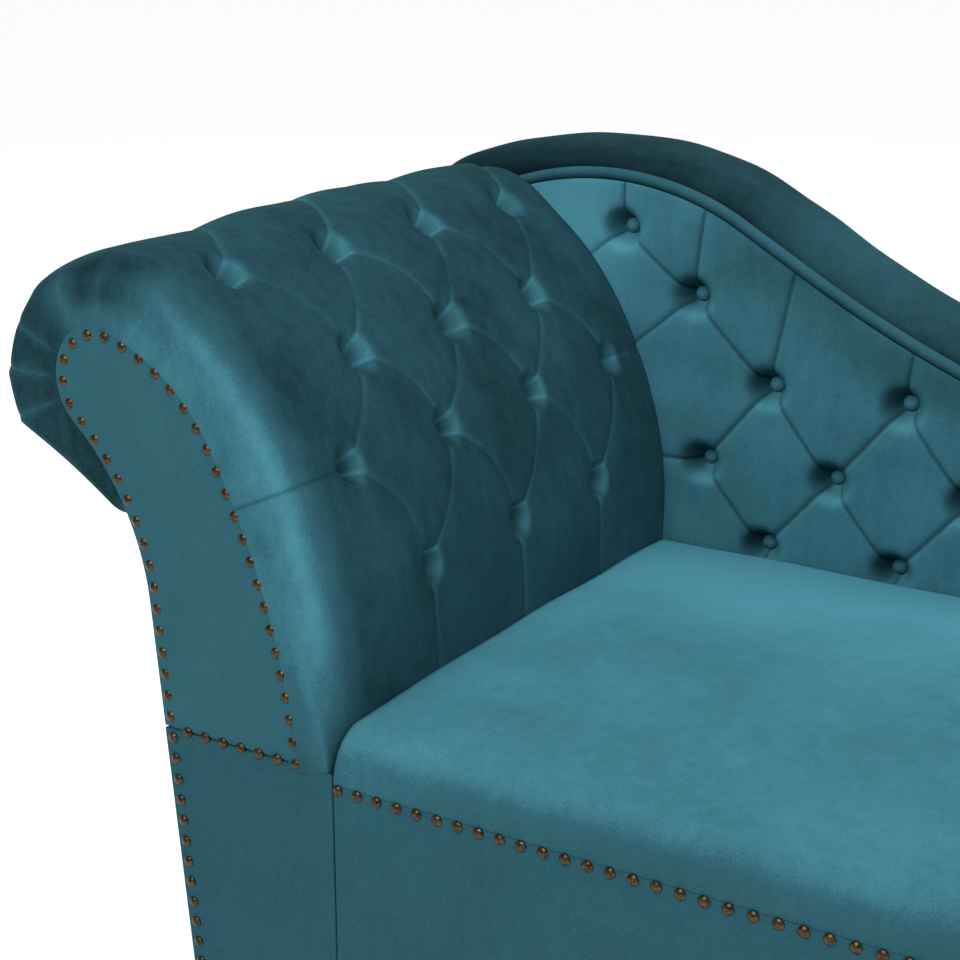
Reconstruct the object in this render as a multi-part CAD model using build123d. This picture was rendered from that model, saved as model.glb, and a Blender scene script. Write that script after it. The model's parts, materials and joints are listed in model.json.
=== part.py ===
from build123d import *
import os
from collections import namedtuple
from math import acos, asin, atan2, cos, degrees, hypot, pi, radians, sin, sqrt, tan

# Overall sizes, in millimetres and degrees
overall_length = 1690.0
overall_depth = 728.0
seat_height = 440.0
seat_depth = 600.0
leg_height = 140.0

# Thicknesses of covers, boards and rails
cover = 4.0
rail = 25.0
arm_board = 18.0
back_board = 15.0
bent_panel = 4.0
dust_sheet = 1.2

# Scroll arm: inside face, roll and leaning outside
arm_reach = 358.0
arm_length = 586.0
roll_radius = 122.0
roll_rise = 258.0
arm_upright = 40.0
arm_width = 184.0
arm_lean = 5.2
arm_pole_radius = 30.0
batten_width = 22.0
batten_height = 46.0

# Arm padding, measured inwards from the crest of the tufts
tuft_depth = 36.0
tuft_backing = 6.0
arm_foam_thickness = 20.0
front_edge_width = 47.0
front_edge_rounding = 28.0

# Arm tufting: rows up the padded face from the seat, pitch along the arm
arm_button_rows = (91.0, 190.0, 271.0, 369.0)
arm_button_pitch = 147.0
arm_button_first = 83.0
arm_buttons_per_row = 4

# Scroll panel on the arm front
panel_neck_rise = 75.0
panel_neck_radius = 220.0
panel_neck_turn = 43.8
panel_end_radius = 51.5
panel_end_turn = 153.0
panel_shoulder_radius = 173.5
panel_shoulder_turn = 47.0
panel_flank_radius = 680.0
panel_split = 37.0
panel_gap = 1.0
neck_clearance = 0.3
neck_room = 2.0

# Back: swept top line, from the head end over the crest down to the low end
back_end_radius = 116.0
back_crest_x = -115.0
back_crest_rise = 403.0
back_crest_radius = 496.0
back_crest_left = 155.0
back_fall_radius = 310.0
back_fall_start = 14.0
back_fall_angle = 30.0
back_fall_run = 87.0
back_sweep_radius = 1280.0
back_low_run = 90.0
back_nose_radius = 140.0
border_thickness = 22.0
border_crown = 12.0
border_setback = 4.0
piping_radius = 6.0
back_foam_thickness = 20.0
back_tuft_rise = 25.0
back_dimple_depth = 15.0
back_cover_drop = 30.0
post_width = 40.0
post_count = 5
post_head_room = 8.0

# Back tufting: staggered rows above the seat, fanning towards the crest
back_button_rows = (6.0, 88.0, 175.0, 259.0, 322.0)
back_button_x = 111.0
back_button_pitch = 141.0
back_button_fan = 0.19
back_button_fan_start = 174.0
back_button_margin = 24.0

# Buttons, nails and the creases between tufts
button_radius = 8.5
button_height = 7.0
nail_radius = 4.7
nail_height = 3.2
nail_shank_radius = 1.0
nail_shank_length = 13.0
nail_pitch = 19.4
nail_margin = 9.5
crease = 2.0
tuft_sink = 2.0
tuft_tip_gap = 5.0
roll_stations = 10
button_clearance = 0.3
tuft_steepness = 0.4

# Seat: cover over foam, felt and zigzag springs on the rails
seat_crown = 12.0
seat_edge_radius = 41.0
seat_skirt = 45.0
seat_clearance = 1.0
seat_back_clearance = 2.0
felt_thickness = 4.0
felt_margin = 34.0
wire_radius = 2.0
rail_drop = 42.0
spring_count = 8
spring_end_margin = 90.0
spring_width = 44.0
spring_turn_radius = 10.0
spring_lead = 30.0
clip_width = 16.0
clip_length = 18.0
clip_height = 5.5
clip_clearance = 0.1
seat_nail_drop = 49.5
seat_nail_start = 5.4

# Base: beam under the back, cross rails and corner blocks
beam_depth = 49.0
beam_height = 100.0
cross_rail_height = 90.0
cross_rail_count = 2
block_leg = 92.0
block_height = 45.0

# Turned legs with their bolts, tee nuts and glides
leg_inset = 31.0
leg_top_radius = 32.0
leg_neck_radius = 19.0
leg_bulb_radius = 29.0
leg_foot_radius = 15.0
leg_collar_height = 22.0
leg_bulb_height = 88.0
leg_ankle_height = 24.0
bolt_radius = 4.0
bolt_in_leg = 40.0
bolt_clearance = 0.1
tee_flange_radius = 11.0
tee_flange_thickness = 1.5
tee_barrel_radius = 5.5
tee_barrel_length = 10.0
glide_radius = 14.0
glide_height = 5.0
dust_margin = 6.0
dust_leg_gap = 3.0

# Worked-out levels and planes: X from the arm's inside face, Y from the front face, Z from the seat
x_foot = overall_length - arm_reach - nail_height
y_rear = overall_depth - nail_height
z_base = leg_height - seat_height
z_rail = -rail_drop
roll_x = roll_radius - arm_reach
upright_to_roll = roll_rise - arm_upright
inside_radius = (roll_radius**2 - roll_x**2 - upright_to_roll**2) / (2 * (roll_x + roll_radius))
inside_turn = degrees(atan2(upright_to_roll, roll_x + inside_radius))
lean_slope = tan(radians(arm_lean))
foam_inset = tuft_depth + tuft_backing
panel_inset = foam_inset + arm_foam_thickness
board_inset = panel_inset + bent_panel
y_dimple = seat_depth + back_dimple_depth
y_back_foam = y_dimple + tuft_backing
y_front_board = y_back_foam + back_foam_thickness
y_rear_board = y_rear - cover - back_board
strip_inset = border_thickness
top_inset = border_thickness + bent_panel
back_cover_inset = border_thickness + piping_radius
y_rear_rail = y_rear - cover - rail
y_beam = y_front_board + back_board - beam_depth
x_head_rail = -(arm_width + z_base * lean_slope) + cover / cos(radians(arm_lean))
x_foot_rail = x_foot - cover - rail
felt_top = z_rail + 2 * wire_radius + felt_thickness

touching = 1e-6
Step = namedtuple("Step", "start heading size turn centre middle end")


def ray(angle, length=1.0):
    return length * cos(radians(angle)), length * sin(radians(angle))


def trace(start, heading, moves):
    """Follow straight runs (length, 0) and tangent arcs (radius, turn), with left turns positive."""
    steps = []
    for size, turn in moves:
        if turn == 0:
            dx, dz = ray(heading, size)
            centre = None
            middle = (start[0] + dx / 2, start[1] + dz / 2)
            end = (start[0] + dx, start[1] + dz)
        else:
            side = 90 if turn > 0 else -90
            dx, dz = ray(heading + side, size)
            centre = (start[0] + dx, start[1] + dz)
            mx, mz = ray(heading - side + turn / 2, size)
            middle = (centre[0] + mx, centre[1] + mz)
            ex, ez = ray(heading - side + turn, size)
            end = (centre[0] + ex, centre[1] + ez)
        steps.append(Step(start, heading, size, turn, centre, middle, end))
        start = end
        heading += turn
    return steps


def length_of(step):
    return step.size * radians(abs(step.turn)) if step.turn else step.size


def place_at(steps, distance):
    """Point and heading at a distance along a traced line, running on straight past its ends."""
    for step in steps[:-1]:
        if distance <= length_of(step):
            break
        distance -= length_of(step)
    else:
        step = steps[-1]
    if step.turn == 0 or distance < 0:
        dx, dz = ray(step.heading, distance)
        return (step.start[0] + dx, step.start[1] + dz), step.heading
    side = 90 if step.turn > 0 else -90
    turned = degrees(distance / step.size) * (1 if step.turn > 0 else -1)
    dx, dz = ray(step.heading - side + turned, step.size)
    return (step.centre[0] + dx, step.centre[1] + dz), step.heading + turned


def edges_of(steps):
    edges = []
    for step in steps:
        if step.turn == 0:
            edges.append(Line(step.start, step.end))
        else:
            edges.append(ThreePointArc(step.start, step.middle, step.end))
    return edges


def plate(steps, corners=()):
    """Flat face inside a traced line that is closed through corner points."""
    ring = [steps[-1].end, *corners, steps[0].start]
    closing = [Line(a, b) for a, b in zip(ring, ring[1:])]
    return make_face(edges_of(steps) + closing)


def band(outer, inner):
    """Flat face between two traced lines that run side by side."""
    pairs = [(outer[0].start, inner[0].start), (outer[-1].end, inner[-1].end)]
    ends = [Line(a, b) for a, b in pairs if hypot(a[0] - b[0], a[1] - b[1]) > touching]
    return make_face(edges_of(outer) + edges_of(inner) + ends)


def slab(face, y_from, y_to):
    """Solid from a face drawn in X and Z, between two planes along Y."""
    plane = Plane((0, y_to, 0), x_dir=(1, 0, 0), z_dir=(0, -1, 0))
    return extrude(plane * face, y_to - y_from)


def block(x_from, x_to, y_from, y_to, z_from, z_to):
    middle = ((x_from + x_to) / 2, (y_from + y_to) / 2, (z_from + z_to) / 2)
    return Pos(*middle) * Box(x_to - x_from, y_to - y_from, z_to - z_from)


def square_to(point, heading):
    """Plane across a line in X and Z: its x points to the right of the heading, its y along Y."""
    hx, hz = ray(heading)
    return Plane((point[0], 0, point[1]), x_dir=(hz, 0, -hx), z_dir=(hx, 0, hz))


def run_along(steps, section):
    """Carry a section, drawn to the right of the line and along Y, along a traced line."""
    pieces = []
    for step in steps:
        face = square_to(step.start, step.heading) * section
        if step.turn == 0:
            pieces.append(extrude(face, step.size))
        else:
            axis = Axis((step.centre[0], 0, step.centre[1]), (0, -1 if step.turn > 0 else 1, 0))
            pieces.append(revolve(face, axis, abs(step.turn)))
    return pieces[0] + pieces[1:]


def bulge(low, high, rise):
    """Section of one tuft: a chord sunk in the backing and an arc that rises over it."""
    top = min(rise, tuft_steepness * (high - low))
    foot = -tuft_sink
    arc = ThreePointArc((foot, low), (top, (low + high) / 2), (foot, high))
    return make_face([arc, Line((foot, high), (foot, low))])


def outside_x(z, inset=0.0):
    return -(arm_width + z * lean_slope) + inset / cos(radians(arm_lean))


def neck_centre():
    dx, dz = ray(180 + arm_lean, panel_neck_radius)
    return outside_x(panel_neck_rise) + dx, panel_neck_rise + dz


def neck_turn(centre, radius, inset=0.0):
    """Turn of the hollow neck, at a depth under the arm's outside, up to where it meets a circle."""
    x, z = neck_centre()
    reach = panel_neck_radius + inset
    apart = hypot(centre[0] - x, centre[1] - z)
    bearing = degrees(atan2(centre[1] - z, centre[0] - x))
    return bearing - degrees(acos((reach**2 + apart**2 - radius**2) / (2 * reach * apart))) - arm_lean


def neck_angle(centre, radius, inset=0.0):
    """Angle, round a circle's centre, of the point where the neck meets that circle."""
    x, z = neck_centre()
    dx, dz = ray(arm_lean + neck_turn(centre, radius, inset), panel_neck_radius + inset)
    return degrees(atan2(z + dz - centre[1], x + dx - centre[0])) + 360


def outside_line(inset, low, radius):
    """Outside of the arm at a depth under it: a leaning straight and a hollow neck up to the roll."""
    straight = (panel_neck_rise - low) / cos(radians(arm_lean))
    turn = neck_turn(roll_centre, radius, inset)
    moves = [(straight, 0), (panel_neck_radius + inset, turn)]
    return trace((outside_x(low, inset), low), 90 + arm_lean, moves)


roll_centre = (roll_x, roll_rise)
roll_end = neck_angle(roll_centre, roll_radius)


def arm_line(inset, low=z_rail, end=roll_end):
    """Padded face of the arm at a depth under the tufts: up from the seat and over the roll."""
    moves = [
        (arm_upright - low, 0),
        (inside_radius - inset, inside_turn),
        (roll_radius - inset, end - inside_turn),
    ]
    return trace((-inset, low), 90, moves)


def arm_face_x(z):
    """X of the arm's padded face at a height under its roll."""
    return sqrt(inside_radius**2 - max(z - arm_upright, 0) ** 2) - inside_radius


def arm_layer(outer, inner):
    return band(arm_line(outer), arm_line(inner))


# End of the swept top line beside the arm roll, where it turns down
crest_left_angle = degrees(asin(back_crest_left / back_crest_radius))
back_join_x = back_crest_x - back_crest_left
back_join_z = back_crest_rise - back_crest_radius * (1 - cos(radians(crest_left_angle)))
back_end_x = back_join_x + back_end_radius * sin(radians(crest_left_angle))
back_end_z = back_join_z - back_end_radius * cos(radians(crest_left_angle))


def back_line(inset):
    """Top line of the back at a depth under it, from the arm's outside round to the low end."""
    begin = neck_angle((back_end_x, back_end_z), back_end_radius)
    dx, dz = ray(begin, back_end_radius - inset)
    end_turn = begin - (90 + crest_left_angle)
    nose = back_nose_radius - inset
    moves = [
        (back_end_radius - inset, -end_turn),
        (back_crest_radius - inset, -(crest_left_angle + back_fall_start)),
        (back_fall_radius - inset, -(back_fall_angle - back_fall_start)),
        (back_fall_run, 0),
        (back_sweep_radius + inset, back_fall_angle),
        (back_low_run, 0),
        (nose, -90),
    ]
    return trace((back_end_x + dx, back_end_z + dz), begin - 90, moves)


def back_face(inset, bottom):
    """Area under the top line, from the arm's outside to the low end, down to a level."""
    steps = back_line(inset)
    hollow = cover + neck_room
    corners = [
        (steps[-1].end[0], bottom),
        (outside_x(bottom, hollow), bottom),
        (outside_x(panel_neck_rise, hollow), panel_neck_rise),
    ]
    return plate(steps, corners)


def top_at(steps, x):
    """Height of a traced line above the seat at a given X."""
    for step in steps[1:]:
        if step.start[0] <= x <= step.end[0]:
            break
    if step.turn == 0:
        share = (x - step.start[0]) / (step.end[0] - step.start[0])
        return step.start[1] + share * (step.end[1] - step.start[1])
    rise = sqrt(max(step.size**2 - (x - step.centre[0]) ** 2, 0))
    return step.centre[1] + (rise if step.turn < 0 else -rise)


# Timber base
def base_rails():
    front = block(0, x_foot - cover, cover, cover + rail, z_base, z_rail)
    rear = block(x_head_rail, x_foot - cover, y_rear_rail, y_rear_rail + rail, z_base, z_rail)
    head = block(x_head_rail, x_head_rail + rail, cover + arm_board, y_rear_rail, z_base, z_rail)
    foot = block(x_foot_rail, x_foot_rail + rail, cover + rail, y_rear_rail, z_base, z_rail)
    return front, rear, head, foot


def seat_beam():
    return block(x_head_rail + rail, x_foot_rail, y_beam, y_beam + beam_depth, z_rail - beam_height, z_rail)


def cross_rails():
    gap = x_foot_rail / (cross_rail_count + 1)
    rails = []
    for index in range(cross_rail_count):
        x = gap * (index + 1)
        top = z_base + cross_rail_height
        rails.append(block(x - rail / 2, x + rail / 2, cover + rail, y_rear_rail, z_base, top))
    return rails


# Inner corners of the base, with the directions into it
corners = {
    "front_head": ((x_head_rail + rail, cover + arm_board), (1, 1)),
    "front_foot": ((x_foot_rail, cover + rail), (-1, 1)),
    "rear_head": ((x_head_rail + rail, y_rear_rail), (1, -1)),
    "rear_foot": ((x_foot_rail, y_rear_rail), (-1, -1)),
}


def leg_centre(name):
    (x, y), (sx, sy) = corners[name]
    return x + sx * leg_inset, y + sy * leg_inset


def corner_blocks():
    blocks = []
    for name, ((x, y), (sx, sy)) in corners.items():
        ring = [(x, y), (x + sx * block_leg, y), (x, y + sy * block_leg), (x, y)]
        prism = extrude(Pos(0, 0, z_base) * make_face(Polyline(ring)), block_height, dir=(0, 0, 1))
        cx, cy = leg_centre(name)
        hole = Pos(cx, cy, z_base + block_height / 2) * Cylinder(bolt_radius + bolt_clearance, block_height)
        seat_z = z_base + block_height - tee_barrel_length / 2
        barrel = Pos(cx, cy, seat_z) * Cylinder(tee_barrel_radius, tee_barrel_length)
        blocks.append(prism - hole - barrel)
    return blocks


def leg_bolts():
    length = bolt_in_leg + block_height + tee_flange_thickness
    shape = Cylinder(bolt_radius, length)
    z = z_base - bolt_in_leg + length / 2
    return [Pos(*leg_centre(name), z) * shape for name in corners]


def tee_nuts():
    barrel = Pos(0, 0, -tee_barrel_length / 2) * Cylinder(tee_barrel_radius, tee_barrel_length)
    flange = Pos(0, 0, tee_flange_thickness / 2) * Cylinder(tee_flange_radius, tee_flange_thickness)
    bore = Cylinder(bolt_radius + bolt_clearance, 2 * tee_barrel_length)
    shape = barrel + flange - bore
    return [Pos(*leg_centre(name), z_base + block_height) * shape for name in corners]


def leg():
    """Turned leg: square-edged collar, waisted neck, bulb and tapering ankle, bored for its bolt."""
    foot = glide_height
    ankle = foot + leg_ankle_height
    bulb = leg_bulb_height
    neck = leg_height - leg_collar_height
    ankle_middle = (leg_foot_radius - 1.5, (foot + ankle) / 2)
    profile = [
        Line((0, foot), (leg_foot_radius, foot)),
        ThreePointArc((leg_foot_radius, foot), ankle_middle, (leg_foot_radius, ankle)),
        Spline([(leg_foot_radius, ankle), (leg_bulb_radius, bulb), (leg_neck_radius, neck)]),
        Line((leg_neck_radius, neck), (leg_top_radius, neck + (leg_top_radius - leg_neck_radius) / 2)),
        Line((leg_top_radius, neck + (leg_top_radius - leg_neck_radius) / 2), (leg_top_radius, leg_height)),
        Line((leg_top_radius, leg_height), (0, leg_height)),
        Line((0, leg_height), (0, foot)),
    ]
    body = revolve(Plane.XZ * make_face(profile), Axis.Z)
    bore_z = leg_height - bolt_in_leg / 2
    bore = Pos(0, 0, bore_z) * Cylinder(bolt_radius + bolt_clearance, bolt_in_leg)
    return body - bore


def legs():
    shape = leg()
    return {f"leg_{name}": Pos(*leg_centre(name), -seat_height) * shape for name in corners}


def leg_glides():
    shape = Pos(0, 0, -seat_height + glide_height / 2) * Cylinder(glide_radius, glide_height)
    return [Pos(*leg_centre(name), 0) * shape for name in corners]


def dust_cover():
    x_from = x_head_rail + dust_margin
    x_to = x_foot - cover - dust_margin
    y_from = cover + dust_margin
    y_to = y_rear - cover - dust_margin
    sheet = block(x_from, x_to, y_from, y_to, z_base - dust_sheet, z_base)
    for name in corners:
        x, y = leg_centre(name)
        sheet -= Pos(x, y, z_base) * Cylinder(leg_top_radius + dust_leg_gap, 4 * dust_sheet)
    return sheet


# Arm frame
def arm_front_board():
    edge = panel_line(cover)
    foot = [(edge[-1].end[0], z_rail), (0, z_rail), (0, z_base)]
    return slab(plate(edge, foot), cover, cover + arm_board)


def arm_rear_board():
    radius = roll_radius - board_inset
    end = neck_angle(roll_centre, radius, cover)
    face = band(arm_line(board_inset, z_rail, end), outside_line(cover, z_rail, radius))
    return slab(face, arm_length - arm_board, arm_length)


def arm_battens():
    y_from = cover + arm_board
    y_to = arm_length - arm_board
    length = y_to - y_from
    pole = Cylinder(arm_pole_radius, length, rotation=(90, 0, 0))
    pole = Pos(roll_x, (y_from + y_to) / 2, roll_rise) * pole
    inner = block(-board_inset - batten_width, -board_inset, y_from, y_to, z_rail, z_rail + batten_height)
    outer_low = arm_upright - batten_height
    outer_x = outside_x(outer_low, cover)
    outer = block(outer_x, outer_x + batten_width, y_from, y_to, outer_low, arm_upright)
    return [pole, inner, outer]


def spread(rows):
    """Stations of a tuft with the half-way station added between each pair."""
    full = [rows[0]]
    for before, after in zip(rows, rows[1:]):
        full.append(tuple((p + q) / 2 for p, q in zip(before, after)))
        full.append(after)
    return full


# Arm padding and covers
def arm_tufts():
    """Tufts of the arm: stations (distance up the face, front, rear) along each one."""
    line = arm_line(tuft_depth, low=0.0)
    low_end = z_rail
    high_end = sum(length_of(step) for step in line) - tuft_depth
    d_row, c_row, b_row, a_row = arm_button_rows
    half = arm_button_pitch / 2
    front = front_edge_width
    back = arm_length
    even = [arm_button_first + arm_button_pitch * k for k in range(arm_buttons_per_row)]
    odd = [y + half for y in even[:-1]]
    tip = crease
    tufts = []

    def diamonds(lower, middle, upper, sides, tips):
        for near, far, point in zip(sides, sides[1:], tips):
            low_tip = (lower + tuft_tip_gap, point - tip, point + tip)
            high_tip = (upper - tuft_tip_gap, point - tip, point + tip)
            tufts.append(spread([low_tip, (middle, near, far), high_tip]))

    diamonds(c_row, b_row, a_row, odd, even[1:])
    diamonds(d_row, c_row, b_row, even, odd)
    over = [a_row + (high_end - a_row) * k / roll_stations for k in range(roll_stations + 1)]
    down = [low_end, low_end / 2, 0.0, d_row / 2, d_row]
    for near, far, point in zip(even, even[1:], odd):
        rise = spread([(b_row + tuft_tip_gap, point - tip, point + tip), (a_row, near, far)])
        tufts.append(rise[:-1] + [(s, near, far) for s in over])
    for near, far, point in zip(odd, odd[1:], even[1:]):
        fall = spread([(d_row, near, far), (c_row - tuft_tip_gap, point - tip, point + tip)])
        tufts.append([(s, near, far) for s in down[:-1]] + fall)
    tufts.append([(s, front, even[0]) for s in over])
    tufts.append([(s, even[-1], back) for s in over])
    tufts.append(spread([(c_row, front, even[0]), (b_row, front, odd[0]), (a_row, front, even[0])]))
    tufts.append(spread([(c_row, even[-1], back), (b_row, odd[-1], back), (a_row, even[-1], back)]))
    low_front = spread([(d_row, front, odd[0]), (c_row, front, even[0])])
    tufts.append([(s, front, odd[0]) for s in down[:-1]] + low_front)
    low_back = spread([(d_row, odd[-1], back), (c_row, even[-1], back)])
    tufts.append([(s, odd[-1], back) for s in down[:-1]] + low_back)
    return line, tufts


def arm_inside_cover():
    line, tufts = arm_tufts()
    body = slab(arm_layer(tuft_depth, foam_inset), front_edge_width, arm_length)
    pillows = []
    for stations in tufts:
        sections = []
        for distance, near, far in stations:
            point, heading = place_at(line, distance)
            section = bulge(near + crease / 2, far - crease / 2, tuft_depth)
            sections.append(square_to(point, heading) * section)
        pillows.append(loft(sections, ruled=True))
    rounded = (-front_edge_rounding, cover)
    crest = (0, front_edge_width)
    lean_in = 1 - cos(pi / 4)
    middle_depth = (front_edge_width - cover) * lean_in
    middle = (-front_edge_rounding * lean_in, cover + middle_depth)
    edge = make_face(
        [
            Line((-panel_inset, cover), rounded),
            ThreePointArc(rounded, middle, crest),
            Line(crest, (-panel_inset, front_edge_width)),
            Line((-panel_inset, front_edge_width), (-panel_inset, cover)),
        ]
    )
    whole = body + pillows + run_along(arm_line(0.0), edge)
    return whole - [place * button_pocket() for place in arm_button_places()] - arm_front_board()


def arm_foam():
    return slab(arm_layer(foam_inset, panel_inset), front_edge_width, arm_length)


def arm_backing_panel():
    return slab(arm_layer(panel_inset, board_inset), cover + arm_board, arm_length)


def arm_outside_cover():
    radius = roll_radius + neck_clearance
    face = band(outside_line(0.0, z_base, radius), outside_line(cover, z_base, radius))
    return slab(face, cover, y_rear - cover)


def panel_line(inset):
    """Edge of the scroll panel from the base up its outer side, round the scroll and down inside."""
    start_x = outside_x(z_base, inset)
    straight = (panel_neck_rise - z_base) / cos(radians(arm_lean))
    moves = [
        (straight, 0),
        (panel_neck_radius + inset, panel_neck_turn),
        (panel_end_radius - inset, -panel_end_turn),
        (panel_shoulder_radius - inset, -panel_shoulder_turn),
    ]
    steps = trace((start_x, z_base), 90 + arm_lean, moves)
    top = steps[-1]
    heading = top.heading + top.turn
    flank = panel_flank_radius - inset
    centre_z = top.end[1] + ray(heading - 90, flank)[1]
    turn = heading + 90 - degrees(asin((-panel_split - centre_z) / flank))
    return steps + trace(top.end, heading, [(flank, -turn)])


def arm_panels():
    steps = panel_line(0.0)
    right_x = steps[-1].end[0]
    split = -panel_split
    whole = plate(steps, [(right_x, z_base)])
    tall = roll_rise + roll_radius + panel_split
    wide = 2 * arm_reach
    above = Pos(-arm_reach, split + tall / 2) * Rectangle(wide, tall)
    scroll = slab(whole & above, 0, cover)
    top = split - panel_gap
    ring = [
        (outside_x(z_base), z_base),
        (-panel_gap, z_base),
        (-panel_gap, top),
        (outside_x(top), top),
        (outside_x(z_base), z_base),
    ]
    lower = slab(make_face(Polyline(ring)), 0, cover)
    return scroll, lower


# Back frame, padding and covers
def back_boards():
    face = back_face(top_inset, z_rail)
    front = slab(face, y_front_board, y_front_board + back_board)
    rear = slab(face, y_rear_board, y_rear_board + back_board)
    return front, rear


def back_posts():
    steps = back_line(top_inset + post_head_room)
    first = back_crest_x
    last = steps[-1].start[0] - post_width
    posts = []
    for index in range(post_count):
        x = first + (last - first) * index / (post_count - 1)
        top = min(top_at(steps, x - post_width / 2), top_at(steps, x + post_width / 2))
        sides = (x - post_width / 2, x + post_width / 2)
        posts.append(block(*sides, y_front_board + back_board, y_rear_board, z_rail, top))
    return posts


def back_top_strip():
    return slab(band(back_line(strip_inset), back_line(top_inset)), y_front_board, y_rear_board + back_board)


def back_top_border():
    y_from = seat_depth + border_setback
    y_middle = (y_from + y_rear) / 2
    low = border_thickness
    side = border_crown
    section = make_face(
        [
            Line((low, y_from), (side, y_from)),
            ThreePointArc((side, y_from), (0, y_middle), (side, y_rear)),
            Line((side, y_rear), (low, y_rear)),
            Line((low, y_rear), (low, y_from)),
        ]
    )
    return run_along(back_line(0.0), section)


def back_piping():
    """Round cord under the front edge of the border, from beside the arm to the low end."""
    inset = border_thickness - piping_radius / 2
    centre_y = seat_depth + border_setback - piping_radius
    section = Pos(0, centre_y) * Circle(piping_radius)
    return run_along(back_line(inset)[1:], section)


def back_outside_cover():
    upper = back_face(border_thickness, -seat_skirt)
    foot = [
        (outside_x(z_base), z_base),
        (x_foot, z_base),
        (x_foot, -seat_skirt),
        (outside_x(-seat_skirt), -seat_skirt),
        (outside_x(z_base), z_base),
    ]
    return slab(upper + make_face(Polyline(foot)), y_rear - cover, y_rear)


def back_foam():
    face = back_face(strip_inset, -back_cover_drop)
    return slab(face, y_back_foam, y_front_board)


def back_row_height(row):
    """Height of a row of buttons, with further rows spaced as the nearest two."""
    rows = back_button_rows
    last = len(rows) - 1
    below = (rows[1] - rows[0]) * min(row, 0)
    above = (rows[-1] - rows[-2]) * max(row - last, 0)
    return rows[min(max(row, 0), last)] + below + above


def back_button_place(row, column):
    z = back_row_height(row)
    stagger = back_button_pitch / 2 if row % 2 else 0.0
    fan = back_button_fan * max(z - back_button_fan_start, 0.0)
    return back_button_x - stagger + back_button_pitch * column - fan, z


def back_columns():
    right = back_line(0.0)[-1].end[0]
    before = int((back_button_x + arm_reach) / back_button_pitch) + 2
    after = int((right - back_button_x) / back_button_pitch) + 2
    return range(-before, after)


def back_tufts():
    """Tufts of the back that reach below the top line: five stations (height, left, right) each."""
    steps = back_line(back_cover_inset)
    right_end = steps[-1].end[0]
    tip = crease
    tufts = []
    for row in range(len(back_button_rows) + 1):
        for column in back_columns():
            left, z = back_button_place(row, column)
            right, _ = back_button_place(row, column + 1)
            below, z_below = back_button_place(row - 1, column + 1 - row % 2)
            above, z_above = back_button_place(row + 1, column + 1 - row % 2)
            outside = right < -arm_reach or left > right_end
            if outside or z_below > top_at(steps, min(max(below, back_join_x), right_end)):
                continue
            low_tip = (z_below + tuft_tip_gap, below - tip, below + tip)
            high_tip = (z_above - tuft_tip_gap, above - tip, above + tip)
            tufts.append(spread([low_tip, (z, left, right), high_tip]))
    return tufts


def back_inside_cover():
    face = back_face(back_cover_inset, -back_cover_drop)
    limit = slab(face, seat_depth - back_tuft_rise, y_back_foam)
    pillows = []
    for stations in back_tufts():
        sections = []
        for z, left, right in stations:
            plane = Plane((0, y_dimple, z), x_dir=(0, -1, 0), z_dir=(0, 0, 1))
            sections.append(plane * bulge(left + crease / 2, right - crease / 2, back_tuft_rise))
        clipped = loft(sections, ruled=True) & limit
        if clipped is not None:
            pillows.append(clipped)
    whole = slab(face, y_dimple, y_back_foam) + pillows
    return whole - [place * button_pocket() for place in back_button_places()]


# Buttons and nails
def dome(radius, height):
    """Round cap over a short straight rim, standing on the XY plane."""
    rim = height / 3
    cap = height - rim
    ball = (radius**2 + cap**2) / (2 * cap)
    half = asin(radius / ball) / 2
    shoulder = (ball * sin(half), height - ball + ball * cos(half))
    profile = [
        Line((0, 0), (radius, 0)),
        Line((radius, 0), (radius, rim)),
        ThreePointArc((radius, rim), shoulder, (0, height)),
        Line((0, height), (0, 0)),
    ]
    return revolve(Plane.XZ * make_face(profile), Axis.Z)


def nail():
    head = dome(nail_radius, nail_height)
    shank = Pos(0, 0, -nail_shank_length / 2) * Cylinder(nail_shank_radius, nail_shank_length)
    return head + shank


def button_pocket():
    """Room for a button in the tufts around it."""
    return Pos(0, 0, tuft_depth / 2) * Cylinder(button_radius + button_clearance, tuft_depth)


def arm_button_places():
    line = arm_line(tuft_depth, low=0.0)
    places = []
    for row, distance in enumerate(arm_button_rows):
        point, heading = place_at(line, distance)
        stagger = 0.0 if row % 2 else arm_button_pitch / 2
        count = arm_buttons_per_row if row % 2 else arm_buttons_per_row - 1
        nx, nz = ray(heading - 90)
        for index in range(count):
            y = arm_button_first + stagger + arm_button_pitch * index
            places.append(Plane((point[0], y, point[1]), x_dir=(0, 1, 0), z_dir=(nx, 0, nz)))
    return places


def arm_buttons():
    shape = dome(button_radius, button_height)
    return [place * shape for place in arm_button_places()]


def back_button_places():
    steps = back_line(back_cover_inset + back_button_margin)
    clear = button_radius + back_button_margin
    places = []
    for row in range(len(back_button_rows)):
        for column in back_columns():
            x, z = back_button_place(row, column)
            inside = arm_face_x(z) + clear < x < steps[-1].end[0] - clear
            if inside and z < top_at(steps, x):
                places.append(Plane((x, y_dimple, z), x_dir=(1, 0, 0), z_dir=(0, -1, 0)))
    return places


def back_buttons():
    shape = dome(button_radius, button_height)
    return [place * shape for place in back_button_places()]


def arm_panel_nails():
    """Nails up the inner edge of the scroll panel, round it and down, and a row across its foot."""
    steps = panel_line(nail_margin)
    total = sum(length_of(step) for step in steps)
    count = int((total - nail_margin) / nail_pitch) + 1
    spots = [place_at(steps, total - nail_pitch * index)[0] for index in range(count)]
    corner_x, row_z = spots[0]
    row_left = outside_x(row_z, nail_margin) + nail_pitch / 2
    row_count = int((corner_x - row_left) / nail_pitch)
    spots += [(corner_x - nail_pitch * (index + 1), row_z) for index in range(row_count)]
    shape = nail()
    return [Plane((x, 0, z), x_dir=(1, 0, 0), z_dir=(0, -1, 0)) * shape for x, z in spots]


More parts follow.
